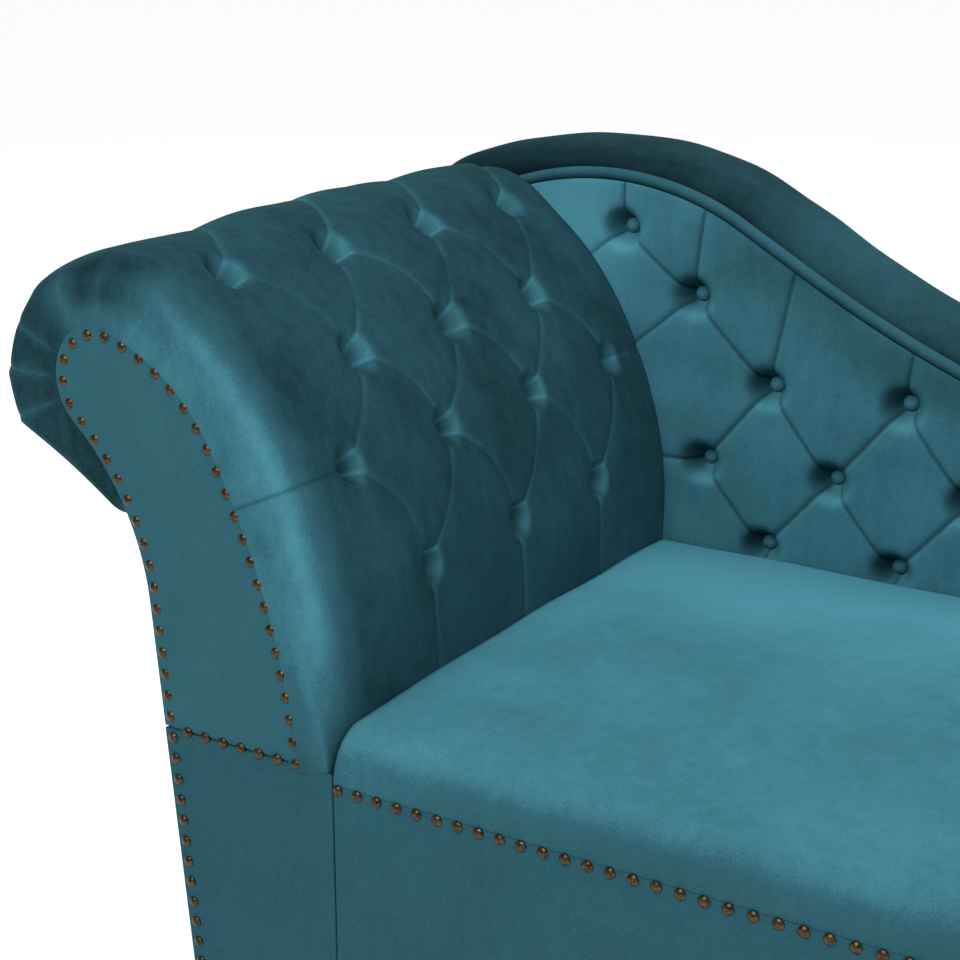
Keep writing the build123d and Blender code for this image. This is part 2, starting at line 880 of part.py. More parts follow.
def seat_rail_nails():
    shape = nail()
    z = -seat_nail_drop
    front_count = int((x_foot - seat_nail_start - nail_radius) / nail_pitch) + 1
    side_count = int((y_rear - nail_margin) / nail_pitch)
    nails = []
    for index in range(front_count):
        plane = Plane((seat_nail_start + nail_pitch * index, 0, z), x_dir=(1, 0, 0), z_dir=(0, -1, 0))
        nails.append(plane * shape)
    for index in range(side_count):
        plane = Plane((x_foot, nail_pitch * (index + 1), z), x_dir=(0, 1, 0), z_dir=(1, 0, 0))
        nails.append(plane * shape)
    return nails


# Seat
def seat_body(inset):
    """Crowned seat block with rolled front, foot and rear edges, wider behind the low end of the back."""
    radius = min(seat_edge_radius, seat_skirt - cover) - inset
    lean_in = radius * (1 - cos(pi / 4))
    top = -inset
    bottom = -seat_skirt
    x_from = seat_clearance
    back_y = seat_depth - back_dimple_depth - seat_back_clearance
    end_x = x_foot - inset
    rear_y = y_rear - inset
    nose_x = back_line(0.0)[-1].end[0] + seat_clearance + (cover - inset)
    front = [
        Line((inset, bottom), (inset, top - radius)),
        ThreePointArc((inset, top - radius), (inset + lean_in, top - lean_in), (inset + radius, top)),
        ThreePointArc((inset + radius, top), (back_y / 2, top + seat_crown), (back_y, top)),
    ]
    closing = [Line((back_y, top), (back_y, bottom)), Line((back_y, bottom), (inset, bottom))]
    main = make_face(front + closing)
    behind = [
        Line((back_y, top), (rear_y - radius, top)),
        ThreePointArc((rear_y - radius, top), (rear_y - lean_in, top - lean_in), (rear_y, top - radius)),
        Line((rear_y, top - radius), (rear_y, bottom)),
        Line((rear_y, bottom), (inset, bottom)),
    ]
    side = Plane((0, 0, 0), x_dir=(0, 1, 0), z_dir=(1, 0, 0))
    long_part = extrude(Pos(x_from, 0, 0) * (side * main), end_x - x_from, dir=(1, 0, 0))
    wide_part = extrude(Pos(nose_x, 0, 0) * (side * make_face(front + behind)), end_x - nose_x, dir=(1, 0, 0))
    high = top + seat_crown
    limit = make_face(
        [
            Line((x_from, bottom), (x_from, high)),
            Line((x_from, high), (end_x - radius, high)),
            ThreePointArc((end_x - radius, high), (end_x - lean_in, high - lean_in), (end_x, high - radius)),
            Line((end_x, high - radius), (end_x, bottom)),
            Line((end_x, bottom), (x_from, bottom)),
        ]
    )
    return (long_part + wide_part) & slab(limit, 0, y_rear)


def seat_pieces():
    shell = seat_body(0.0)
    filling = seat_body(cover)
    above_felt = block(0, x_foot, 0, y_rear, felt_top, seat_crown)
    return filling & above_felt, shell - filling


def felt_pad():
    x_to = x_foot_rail - seat_clearance
    y_to = seat_depth - felt_margin
    return block(felt_margin, x_to, felt_margin, y_to, felt_top - felt_thickness, felt_top)


def spring_places():
    first = spring_end_margin
    last = x_foot_rail - spring_end_margin
    return [first + (last - first) * index / (spring_count - 1) for index in range(spring_count)]


def seat_springs():
    """Zigzag wires from the front rail to the beam, made of straight runs and half turns."""
    start = cover + rail / 2
    end = y_beam + clip_length / 2
    bends = int((end - start - 2 * spring_lead) / (2 * spring_turn_radius)) // 2 * 2
    radius = (end - start - 2 * spring_lead) / (2 * bends)
    run = spring_width - 2 * radius
    moves = [(spring_lead - radius, 0), (radius, 90), (run / 2, 0)]
    for index in range(bends - 1):
        moves += [(radius, -180 if index % 2 == 0 else 180), (run, 0)]
    moves[-1] = (run / 2, 0)
    moves += [(radius, -90), (spring_lead - radius, 0)]
    path = Wire(edges_of(trace((0, start), 90, moves)))
    section = Plane((0, start, 0), x_dir=(1, 0, 0), z_dir=(0, 1, 0)) * Circle(wire_radius)
    wire = sweep(section, path=path)
    return [Pos(x, 0, z_rail + wire_radius) * wire for x in spring_places()]


def spring_clips():
    middle = z_rail + clip_height / 2
    channel = Cylinder(wire_radius + clip_clearance, 2 * clip_length, rotation=(90, 0, 0))
    shape = Pos(0, 0, middle) * Box(clip_width, clip_length, clip_height)
    shape -= Pos(0, 0, z_rail + wire_radius) * channel
    clips = []
    for x in spring_places():
        clips.append(Pos(x, cover + rail / 2, 0) * shape)
        clips.append(Pos(x, y_beam + clip_length / 2, 0) * shape)
    return clips


# Plain covers of the rails
def rail_covers():
    top = -seat_skirt
    front = block(0, x_foot, 0, cover, z_base, top)
    foot = block(x_foot - cover, x_foot, cover, y_rear - cover, z_base, top)
    return front, foot


front_rail, rear_rail, head_rail, foot_rail = base_rails()
front_cover, foot_cover = rail_covers()
scroll_panel, lower_panel = arm_panels()
back_front, back_rear = back_boards()
seat_padding, seat_skin = seat_pieces()

nodes = {
    "front_rail": front_rail,
    "rear_rail": rear_rail,
    "head_rail": head_rail,
    "foot_rail": foot_rail,
    "seat_rear_beam": seat_beam(),
    "cross_rails": cross_rails(),
    "corner_blocks": corner_blocks(),
    "arm_front_board": arm_front_board(),
    "arm_rear_board": arm_rear_board(),
    "arm_battens": arm_battens(),
    "arm_backing_panel": arm_backing_panel(),
    "arm_foam": arm_foam(),
    "arm_inside_cover": arm_inside_cover(),
    "arm_outside_cover": arm_outside_cover(),
    "arm_scroll_panel": scroll_panel,
    "arm_lower_panel": lower_panel,
    "arm_buttons": arm_buttons(),
    "arm_panel_nails": arm_panel_nails(),
    "back_front_board": back_front,
    "back_rear_board": back_rear,
    "back_posts": back_posts(),
    "back_top_strip": back_top_strip(),
    "back_foam": back_foam(),
    "back_inside_cover": back_inside_cover(),
    "back_top_border": back_top_border(),
    "back_piping": back_piping(),
    "back_outside_cover": back_outside_cover(),
    "back_buttons": back_buttons(),
    "seat_springs": seat_springs(),
    "spring_clips": spring_clips(),
    "seat_felt": felt_pad(),
    "seat_foam": seat_padding,
    "seat_cover": seat_skin,
    "front_rail_cover": front_cover,
    "foot_rail_cover": foot_cover,
    "seat_rail_nails": seat_rail_nails(),
    "dust_cover": dust_cover(),
    "leg_bolts": leg_bolts(),
    "leg_tee_nuts": tee_nuts(),
    "leg_glides": leg_glides(),
    **legs(),
}

# Move the model so that its origin is on the floor, under the middle of its box
to_origin = Pos(arm_reach - overall_length / 2, nail_height - overall_depth / 2, seat_height)
os.makedirs("parts", exist_ok=True)
for name, shape in nodes.items():
    whole = Compound(shape) if isinstance(shape, list) else shape
    export_step(to_origin * whole, f"parts/{name}.step")
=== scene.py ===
import json
from collections import namedtuple
from math import acos, asin, atan2, cos, degrees, exp, hypot, pi, radians, sin, tan

import bpy
import numpy as np
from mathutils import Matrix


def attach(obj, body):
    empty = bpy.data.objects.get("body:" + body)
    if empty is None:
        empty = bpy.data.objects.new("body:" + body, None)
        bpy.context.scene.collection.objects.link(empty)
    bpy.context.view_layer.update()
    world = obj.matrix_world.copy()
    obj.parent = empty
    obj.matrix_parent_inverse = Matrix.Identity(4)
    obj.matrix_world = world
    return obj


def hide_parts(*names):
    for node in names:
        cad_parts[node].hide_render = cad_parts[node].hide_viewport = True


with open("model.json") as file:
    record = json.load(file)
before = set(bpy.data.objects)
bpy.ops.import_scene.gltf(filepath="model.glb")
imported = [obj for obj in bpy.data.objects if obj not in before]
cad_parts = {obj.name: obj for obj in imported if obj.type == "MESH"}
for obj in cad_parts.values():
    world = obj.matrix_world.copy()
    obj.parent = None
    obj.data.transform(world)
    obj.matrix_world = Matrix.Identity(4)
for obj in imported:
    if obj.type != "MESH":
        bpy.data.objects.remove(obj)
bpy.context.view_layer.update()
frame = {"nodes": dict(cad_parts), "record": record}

# Where the arm's inside face, the front face and the seat are in the shared frame, in metres
origin = np.array((-0.487, -0.3608, 0.440))

# Sizes of the chaise from that point, in metres and degrees, with turns of the arm's edge in radians
seat_depth = 0.600
base_z = -0.300
foot_x = 1.3288
rear_y = 0.7248
cover = 0.004

# Scroll arm
arm_reach = 0.358
arm_length = 0.586
arm_upright = 0.040
arm_width = 0.184
arm_lean = 5.2
arm_foot = -0.042
roll_radius = 0.122
roll_rise = 0.258
arm_tuft_depth = 0.036
arm_pad_depth = 0.062
arm_button_rows = (0.091, 0.190, 0.271, 0.369)
arm_button_pitch = 0.147
arm_button_first = 0.083
arm_columns = 4
edge_width = 0.047
edge_depth = 0.0455
edge_drop = 0.028
edge_hem = 0.030
foot_heights = (-0.035, 0.05)
flank_angles = (60.0, 110.0)

# Front end of the roll: drawn corners as angle and radius, pleats as angle and strength
roll_corners = ((138.0, 0.122), (156.0, 0.119), (183.0, 0.126), (207.0, 0.128))
roll_pleats = ((50.0, 0.4), (86.0, 0.6), (118.0, 0.6), (156.0, 1.0), (180.0, 1.0), (203.0, 1.0))
under_start = 195.0
under_angle = 240.3
under_radius = 0.103
crown_angle = 105.0
crown_spread = 35.0
crown_sag = 0.0040
crown_front_sag = 0.0110
crown_blend = 0.060
sag_fade = (0.10, 0.30)
drawn_reach = 0.15
drawn_blend = 0.11
drawn_turns = (0.8, pi / 2)
tuck_turns = (0.6, pi / 2)
pleat_lean = 0.088
pleat_depth = 0.004
pleat_width = 0.003
pleat_turns = (0.6, 1.3)
crease_bow = 0.010
panel_tuck = 0.003
foot_fullness = 0.3
arm_unevenness = 0.0012

# Scroll panel on the arm front
neck_rise = 0.075
neck_radius = 0.220
neck_turn = 43.8
end_radius = 0.0515
end_turn = 153.0
shoulder_radius = 0.1735
shoulder_turn = 47.0
flank_radius = 0.680
panel_split = 0.037

# Back
back_end_radius = 0.116
crest_x = -0.115
crest_rise = 0.403
crest_radius = 0.496
crest_left = 0.155
fall_radius = 0.310
fall_start = 14.0
fall_angle = 30.0
fall_run = 0.087
sweep_radius = 1.280
low_run = 0.090
nose_radius = 0.140
border_thickness = 0.022
piping_radius = 0.0065
back_left = -0.165
back_reach = 0.085
corner_x = -0.010
corner_curve = 0.5
back_drop = 0.030
back_dimple = 0.615
back_pad_rear = 0.641
back_tuft_rise = 0.025
back_button_rows = (0.006, 0.088, 0.175, 0.259, 0.322)
back_button_x = 0.111
back_button_pitch = 0.141
back_fan = 0.19
back_fan_start = 0.174
back_button_margin = 0.024
back_columns = range(-4, 10)
back_levels = 220
top_overrun = 0.01
pleat_splay = 0.35
arm_side_crease = (0.15, 0.125)
back_fullness = 1.15
back_unevenness = 0.0010
back_lean_x = -0.09
back_lean_heights = (0.20, 0.31)
band_proud = 0.003
band_forward = 0.014
band_forward_run = (0.10, 0.22)
band_front_fall = 0.019
band_rear_fall = 0.007
band_crown = 0.003
band_unevenness = 0.0010
cord_gap = 0.001
cord_forward = 0.008
corner_most = 0.04

# Seat
seat_crown = 0.012
seat_skirt = 0.045
seat_round = 0.036
seat_rear = 0.583
seat_sink = 0.002
seat_gap = 0.001
seat_arm_reach = 0.10
seat_unevenness = 0.0009
step_width = 0.002

# Tufts: pits and rises in metres, depths as shares of the tuft depth
button_radius = 0.0085
pit_floor = 0.005
crease_rise = 0.00006
dome_rise = 0.0007
crease_at_pits = 0.10
arm_pit = 0.0065
arm_pit_growth = 0.0025
arm_relief = 0.030
crown_relief = 0.045
arm_doming = 0.03
crown_doming = 0.06
back_pit = 0.010
back_relief = 0.035
back_doming = 0.05

# Painted light and shade stored on the velvet: widths in metres, then steps of its tone
arm_crease_width = 0.0018
front_pleat_width = 0.0016
back_crease_width = 0.0016
button_light_width = 0.040
pit_shadow_width = 0.015
pit_shadow_shift = 0.012
under_band_width = 0.050
arm_crease_light = 0.24
arm_pleat_light = 0.26
front_pleat_dark = 0.22
roll_top_dark = 0.12
roll_side_dark = 0.44
over_front_dark = 0.36
arm_foot_dark = 0.16
front_streak_light = 0.12
front_hem_dark = 0.10
back_corner_light = 0.30
back_crease_dark = 0.34
back_pit_dark = 0.07
under_band_dark = 0.17
band_patch_light = 0.24
band_fall_light = 0.13
band_dark = 0.07
seat_rear_light = 0.34
seat_arm_light = 0.08
seat_front_dark = 0.13

# Camera, fitted to the photo: lens and sensor in millimetres, place in metres, angles in degrees
camera_lens = 70.42
camera_sensor = 36.0
camera_place = (0.3609, -1.4690, 1.0835)
camera_dip = 17.145
camera_turn = 32.475

Step = namedtuple("Step", "start heading size turn")
grid_step = 0.002


# Traced lines: straight runs and tangent arcs
def ray(angle, length=1.0):
    return length * cos(radians(angle)), length * sin(radians(angle))


def length_of(step):
    return step.size * radians(abs(step.turn)) if step.turn else step.size


def point_on(step, along):
    """X, Z and heading at distances along one straight or arc."""
    if step.turn == 0:
        dx, dz = ray(step.heading)
        return step.start[0] + dx * along, step.start[1] + dz * along, step.heading + 0 * along
    way = 1 if step.turn > 0 else -1
    cx, cz = ray(step.heading + 90 * way, step.size)
    turned = step.heading + way * np.degrees(along / step.size)
    angle = np.radians(turned - 90 * way)
    x = step.start[0] + cx + step.size * np.cos(angle)
    z = step.start[1] + cz + step.size * np.sin(angle)
    return x, z, turned


def trace(start, heading, moves):
    """Follow straight runs (length, 0) and tangent arcs (radius, turn), with left turns positive."""
    steps = []
    for size, turn in moves:
        step = Step(start, heading, size, turn)
        steps.append(step)
        x, z, heading = point_on(step, length_of(step))
        start = (float(x), float(z))
        heading = float(heading)
    return steps


def end_of(steps):
    return point_on(steps[-1], length_of(steps[-1]))


def total_length(steps):
    return sum(length_of(step) for step in steps)


def follow(steps, distance):
    """X, Z and heading at distances along a traced line, running on past its ends."""
    distance = np.asarray(distance, float)
    x, z, heading = point_on(steps[0], distance)
    begin = length_of(steps[0])
    for step in steps[1:]:
        later = distance >= begin
        nx, nz, turned = point_on(step, distance - begin)
        x = np.where(later, nx, x)
        z = np.where(later, nz, z)
        heading = np.where(later, turned, heading)
        begin += length_of(step)
    return x, z, heading


def right_of(heading):
    """Unit step to the right of headings in degrees, as X and Z."""
    return np.sin(np.radians(heading)), -np.cos(np.radians(heading))


def outside_x(z, inset=0.0):
    return -(arm_width + z * tan(radians(arm_lean))) + inset / cos(radians(arm_lean))


def neck_angle(centre, radius):
    """Angle round a circle's centre where the arm's neck meets it, and the neck's turn to there."""
    dx, dz = ray(180 + arm_lean, neck_radius)
    x = outside_x(neck_rise) + dx
    z = neck_rise + dz
    apart = hypot(centre[0] - x, centre[1] - z)
    bearing = degrees(atan2(centre[1] - z, centre[0] - x))
    cosine = (neck_radius**2 + apart**2 - radius**2) / (2 * neck_radius * apart)
    turn = bearing - degrees(acos(cosine))
    px, pz = ray(turn, neck_radius)
    return degrees(atan2(z + pz - centre[1], x + px - centre[0])) + 360, turn - arm_lean


roll_x = roll_radius - arm_reach
rise_to_roll = roll_rise - arm_upright
inside_radius = (roll_radius**2 - roll_x**2 - rise_to_roll**2) / (2 * (roll_x + roll_radius))
inside_turn = degrees(atan2(rise_to_roll, roll_x + inside_radius))
roll_end, _ = neck_angle((roll_x, roll_rise), roll_radius)


def arm_line(inset):
    moves = [
        (arm_upright, 0),
        (inside_radius - inset, inside_turn),
        (roll_radius - inset, roll_end - inside_turn),
    ]
    return trace((-inset, 0.0), 90, moves)


crest_angle = degrees(asin(crest_left / crest_radius))
back_end_x = crest_x - crest_left + back_end_radius * sin(radians(crest_angle))
join_z = crest_rise - crest_radius * (1 - cos(radians(crest_angle)))
back_end_z = join_z - back_end_radius * cos(radians(crest_angle))


def back_line(inset):
    """Top line of the back at a depth under it, from the arm's outside round to the low end."""
    begin, _ = neck_angle((back_end_x, back_end_z), back_end_radius)
    dx, dz = ray(begin, back_end_radius - inset)
    moves = [
        (back_end_radius - inset, -(begin - 90 - crest_angle)),
        (crest_radius - inset, -(crest_angle + fall_start)),
        (fall_radius - inset, -(fall_angle - fall_start)),
        (fall_run, 0),
        (sweep_radius + inset, fall_angle),
        (low_run, 0),
        (nose_radius - inset, -90),
    ]
    return trace((back_end_x + dx, back_end_z + dz), begin - 90, moves)


# Shares that fade or step, and seeded unevenness
def bell(distance, width):
    """1 at no distance, fading to 0 over a width."""
    return np.exp(-((distance / width) ** 2))


def smooth(x, low, high):
    share = np.clip((x - low) / (high - low), 0, 1)
    return share * share * (3 - 2 * share)


def waves(x, y, z, seed, size, count=24):
    """Even, seeded unevenness between about -1 and 1 that varies over a given size."""
    random = np.random.default_rng(seed)
    total = np.zeros(np.broadcast(x, y, z).shape)
    for _ in range(count):
        way = random.normal(size=3)
        way *= random.uniform(0.5, 1.5) * 2 * pi / (size * np.linalg.norm(way))
        total = total + np.sin(way[0] * x + way[1] * y + way[2] * z + random.uniform(0, 2 * pi))
    return total / (count**0.5)


# Padded sheets: a cover blown up by even pressure and held down along its creases
def near_lines(a, b, lines):
    """Distance of grid points to the nearest of some straight lines."""
    nearest = np.full(a.shape, 1.0)
    for (a0, b0), (a1, b1) in lines:
        da = a1 - a0
        db = b1 - b0
        share = ((a - a0) * da + (b - b0) * db) / (da * da + db * db)
        share = np.clip(share, 0, 1)
        nearest = np.minimum(nearest, np.hypot(a - a0 - share * da, b - b0 - share * db))
    return nearest


def near_points(a, b, points):
    nearest = np.full(a.shape, 1.0)
    for pa, pb in points:
        nearest = np.minimum(nearest, np.hypot(a - pa, b - pb))
    return nearest


def stretch(values, shape):
    """A grid of values sampled again on a grid of another shape."""
    rows = np.linspace(0, values.shape[0] - 1, shape[0])
    columns = np.linspace(0, values.shape[1] - 1, shape[1])
    across = np.array([np.interp(columns, np.arange(values.shape[1]), row) for row in values])
    return np.array([np.interp(rows, np.arange(values.shape[0]), line) for line in across.T]).T


def blown_sheet(a_range, b_range, creases, buttons, hold=3.0e6, width=0.0012, rounds=420):
    """Grid on a rectangle, and the rise of a sheet under pressure, pinned at creases and buttons."""
    rise = None
    for coarse in (8, 4, 2, 1):
        size = grid_step * coarse
        count_a = int(round((a_range[1] - a_range[0]) / size)) + 1
        count_b = int(round((b_range[1] - b_range[0]) / size)) + 1
        along_a = np.linspace(*a_range, count_a)
        along_b = np.linspace(*b_range, count_b)
        a, b = np.meshgrid(along_a, along_b, indexing="ij")
        reach = max(width, 0.6 * size)
        pin = hold * bell(near_lines(a, b, creases), reach)
        pin += hold * (near_points(a, b, buttons) < max(button_radius, reach))
        rise = np.zeros(a.shape) if rise is None else stretch(rise, a.shape)
        for _ in range(rounds):
            framed = np.pad(rise, 1, mode="edge")
            around = framed[:-2, 1:-1] + framed[2:, 1:-1] + framed[1:-1, :-2] + framed[1:-1, 2:]
            rise = (around + size * size) / (4 + pin * size * size)
    return a, b, rise


def tuft_heights(a, b, rise, buttons, pit, relief, doming):
    """Heights from 0 in the pits at the buttons to 1 on the pads, with shallow creases between them."""
    near = near_points(a, b, buttons)
    edge = (1 - np.exp(-rise / crease_rise)) ** 0.5
    dome = 1 - np.exp(-rise / dome_rise)
    hollow = bell(np.maximum(near - pit_floor, 0), pit)
    crease = (relief + crease_at_pits * bell(near, 3 * pit)) * (1 - edge)
    return (1 - hollow) * (1 - crease - doming * (1 - dome))


# Mesh pieces
def make_piece(name, points, faces, material, shade_smooth=True):
    mesh = bpy.data.meshes.new(name)
    placed = np.asarray(points, float).reshape(-1, 3) + origin
    mesh.from_pydata([tuple(p) for p in placed], [], faces)
    mesh.validate()
    mesh.update()
    if shade_smooth:
        mesh.shade_smooth()
    piece = bpy.data.objects.new(name, mesh)
    bpy.context.scene.collection.objects.link(piece)
    mesh.materials.append(material)
    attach(piece, "root")
    return piece


def shell(name, outer, inner_first, inner_last, material):
    """Closed pad from an outer grid of points, and the two lines behind its first and last columns."""
    rows, columns = outer.shape[:2]
    points = np.concatenate([outer.reshape(-1, 3), inner_first, inner_last])
    first = rows * columns
    last = first + rows
    faces = []
    for i in range(rows - 1):
        for j in range(columns - 1):
            k = i * columns + j
            faces.append((k, k + columns, k + columns + 1, k + 1))
        k = i * columns
        faces.append((k, first + i, first + i + 1, k + columns))
        k = i * columns + columns - 1
        faces.append((k, k + columns, last + i + 1, last + i))
        faces.append((first + i, last + i, last + i + 1, first + i + 1))
    faces.append(tuple(range(columns)) + (last, first))
    start = (rows - 1) * columns
    closing = tuple(range(start + columns - 1, start - 1, -1))
    faces.append((first + rows - 1, last + rows - 1) + closing)
    return make_piece(name, points, faces, material)


def tube(name, rings, material):
    """Closed piece from matching rings of points, with flat ends."""
    count, sides = rings.shape[:2]
    faces = []
    for i in range(count - 1):
        for j in range(sides):
            k = i * sides + j
            n = i * sides + (j + 1) % sides
            faces.append((k, n, n + sides, k + sides))
    faces.append(tuple(range(sides - 1, -1, -1)))
    faces.append(tuple(range((count - 1) * sides, count * sides)))
    return make_piece(name, rings, faces, material)


def note(piece, name, values):
    """Store one value a point for the material to read."""
    layer = piece.data.attributes.new(name, "FLOAT", "POINT")
    filled = np.zeros(len(piece.data.vertices), np.float32)
    filled[: values.size] = values.ravel()
    layer.data.foreach_set("value", filled)


# Materials
def new_material(name):
    material = bpy.data.materials.new(name)
    material.use_nodes = True
    nodes = material.node_tree.nodes
    return material, nodes, material.node_tree.links, nodes["Principled BSDF"]


def noise(nodes, links, scale, detail=3.0, rough=0.55, stretch_by=None):
    place = nodes.new("ShaderNodeTexCoord")
    texture = nodes.new("ShaderNodeTexNoise")
    texture.inputs["Scale"].default_value = scale
    texture.inputs["Detail"].default_value = detail
    texture.inputs["Roughness"].default_value = rough
    if stretch_by is None:
        links.new(place.outputs["Object"], texture.inputs["Vector"])
    else:
        mapping = nodes.new("ShaderNodeMapping")
        mapping.inputs["Scale"].default_value = stretch_by
        links.new(place.outputs["Object"], mapping.inputs["Vector"])
        links.new(mapping.outputs["Vector"], texture.inputs["Vector"])
    return texture.outputs["Fac"]


def ranged(nodes, links, value, low, high, to_low, to_high, way="LINEAR"):
    node = nodes.new("ShaderNodeMapRange")
    node.interpolation_type = way
    node.inputs["From Min"].default_value = low
    node.inputs["From Max"].default_value = high
    node.inputs["To Min"].default_value = to_low
    node.inputs["To Max"].default_value = to_high
    links.new(value, node.inputs["Value"])
    return node.outputs["Result"]


def maths(nodes, links, way, first, second):
    node = nodes.new("ShaderNodeMath")
    node.operation = way
    for socket, value in zip(node.inputs, (first, second)):
        if isinstance(value, float):
            socket.default_value = value
        else:
            links.new(value, socket)
    return node.outputs["Value"]


def mixed(nodes, links, share, first, second):
    node = nodes.new("ShaderNodeMix")
    node.data_type = "RGBA"
    links.new(share, node.inputs["Factor"])
    for socket, colour in ((node.inputs["A"], first), (node.inputs["B"], second)):
        if isinstance(colour, tuple):
            socket.default_value = (*colour, 1.0)
        else:
            links.new(colour, socket)
    return node.outputs["Result"]


def add_bump(nodes, links, shader, height, strength, distance):
    bump = nodes.new("ShaderNodeBump")
    bump.inputs["Strength"].default_value = strength
    bump.inputs["Distance"].default_value = distance
    links.new(height, bump.inputs["Height"])
    links.new(bump.outputs["Normal"], shader.inputs["Normal"])


# Tone ramp of the teal velvet; the level fed into it carries painted light and shade as well as the
# cloth's own unevenness
velvet_dark = (0.0050, 0.0190, 0.0245)
velvet_mid = (0.0250, 0.0960, 0.1230)
velvet_light = (0.0700, 0.2600, 0.3300)


def velvet(name, tones, pile_and_light_way=(0.0, -0.35, 0.94), pile_and_light_range=(-1.0, 1.0), mottle=1.0):
    """Teal velvet: two tones by which way it faces, partly the pile's lie and partly painted light and
    shade, mottled patches and streaks in the pile, stored painted light and shade, a painted sheen at
    the edges and a soft sheen.
    """
    material, nodes, links, shader = new_material(name)
    # Tone by facing: partly the pile's lie, partly painted light and shade on the sides the lamps
    # favour
    geometry = nodes.new("ShaderNodeNewGeometry")
    dot = nodes.new("ShaderNodeVectorMath")
    dot.operation = "DOT_PRODUCT"
    dot.inputs[1].default_value = pile_and_light_way
    links.new(geometry.outputs["Normal"], dot.inputs[0])
    level = ranged(nodes, links, dot.outputs["Value"], *pile_and_light_range, *tones, "SMOOTHSTEP")
    layers = (
        (noise(nodes, links, 9.0, 4.0), 0.055 * mottle),
        (noise(nodes, links, 70.0, 3.0, 0.6, (1.0, 1.0, 0.4)), 0.035 * mottle),
        (noise(nodes, links, 600.0, 2.0), 0.06),
    )
    for pattern, amount in layers:
        uneven = ranged(nodes, links, pattern, 0.3, 0.7, -amount, amount)
        level = maths(nodes, links, "ADD", level, uneven)
    # Painted sheen: the tone lightened where the surface turns edge-on
    facing = nodes.new("ShaderNodeLayerWeight")
    facing.inputs["Blend"].default_value = 0.40
    painted_sheen_rim = ranged(nodes, links, facing.outputs["Facing"], 0.35, 1.0, 0.0, 0.07)
    level = maths(nodes, links, "ADD", level, painted_sheen_rim)
    shade = nodes.new("ShaderNodeAttribute")
    shade.attribute_name = "shade"
    level = maths(nodes, links, "ADD", level, shade.outputs["Fac"])
    to_mid = ranged(nodes, links, level, 0.0, 0.5, 0.0, 1.0)
    to_light = ranged(nodes, links, level, 0.5, 1.0, 0.0, 1.0)
    low = mixed(nodes, links, to_mid, velvet_dark, velvet_mid)
    colour = mixed(nodes, links, to_light, low, velvet_light)
    links.new(colour, shader.inputs["Base Color"])
    add_bump(nodes, links, shader, noise(nodes, links, 1500.0, 2.0), 0.20, 0.0006)
    shader.inputs["Roughness"].default_value = 0.80
    shader.inputs["Specular IOR Level"].default_value = 0.02
    shader.inputs["Sheen Weight"].default_value = 0.04
    shader.inputs["Sheen Roughness"].default_value = 0.45
    shader.inputs["Sheen Tint"].default_value = (0.25, 0.75, 0.90, 1.0)
    return material


def grained(name, dark, light, scale, stretch_by, roughness, metal=0.0, bump_depth=0.0004):
    """Wood, metal, cloth or foam: two colours mixed by noise, with a fine bump."""
    material, nodes, links, shader = new_material(name)
    pattern = noise(nodes, links, scale, 5.0, 0.6, stretch_by)
    share = ranged(nodes, links, pattern, 0.35, 0.65, 0.0, 1.0)
    links.new(mixed(nodes, links, share, dark, light), shader.inputs["Base Color"])
    fine = noise(nodes, links, scale * 4, 3.0)
    rough = ranged(nodes, links, fine, 0.3, 0.7, roughness - 0.06, roughness + 0.06)
    links.new(rough, shader.inputs["Roughness"])
    add_bump(nodes, links, shader, pattern, 0.25, bump_depth)
    shader.inputs["Metallic"].default_value = metal
    return material


# One teal velvet, set lighter or darker per piece, partly for the pile's lie and partly as painted
# light and shade
velvet_arm = velvet("velvet_arm", (0.14, 0.64), (0.0, -0.95, -0.30), (-0.4, 0.8), 1.4)
velvet_back = velvet("velvet_back", (0.22, 0.95), (-0.75, -0.25, 0.61), (-0.75, 1.0))
velvet_seat = velvet("velvet_seat", (0.52, 0.69), (0.0, 0.50, 0.86), (-0.6, 0.9))
velvet_front = velvet("velvet_front", (0.40, 0.46), mottle=0.5)
velvet_rail = velvet("velvet_rail", (0.30, 0.36), mottle=0.5)
velvet_band = velvet("velvet_band", (0.03, 0.15), (0.0, 0.80, 0.60))
velvet_cord = velvet("velvet_cord", (0.06, 0.45), (0.0, -0.60, 0.80), (-0.3, 1.0))
velvet_button = velvet("velvet_button", (0.40, 0.85), (-0.4, -0.6, 0.7), (-0.5, 1.0))
velvet_plain = velvet("velvet_plain", (0.30, 0.40))

bronze_dark = (0.022, 0.015, 0.008)
bronze_light = (0.095, 0.065, 0.032)
bronze = grained("nail_bronze", bronze_dark, bronze_light, 420.0, None, 0.32, 1.0, 0.0002)
upright_grain = (1.0, 1.0, 0.08)
level_grain = (0.08, 1.0, 1.0)
leg_wood = grained("leg_wood", (0.010, 0.005, 0.003), (0.030, 0.015, 0.009), 30.0, upright_grain, 0.38)
frame_wood = grained("frame_wood", (0.36, 0.23, 0.12), (0.55, 0.39, 0.23), 24.0, level_grain, 0.7)
steel = grained("steel", (0.28, 0.28, 0.29), (0.42, 0.42, 0.43), 300.0, None, 0.35, 1.0)
foam = grained("foam", (0.70, 0.62, 0.42), (0.84, 0.78, 0.58), 600.0, None, 0.9)
felt = grained("felt", (0.30, 0.29, 0.27), (0.48, 0.46, 0.43), 500.0, None, 0.95)
dust_cloth = grained("dust_cloth", (0.010, 0.010, 0.010), (0.030, 0.030, 0.030), 900.0, None, 0.9)
glide_plastic = grained("glide_plastic", (0.02, 0.02, 0.02), (0.05, 0.05, 0.05), 200.0, None, 0.55)

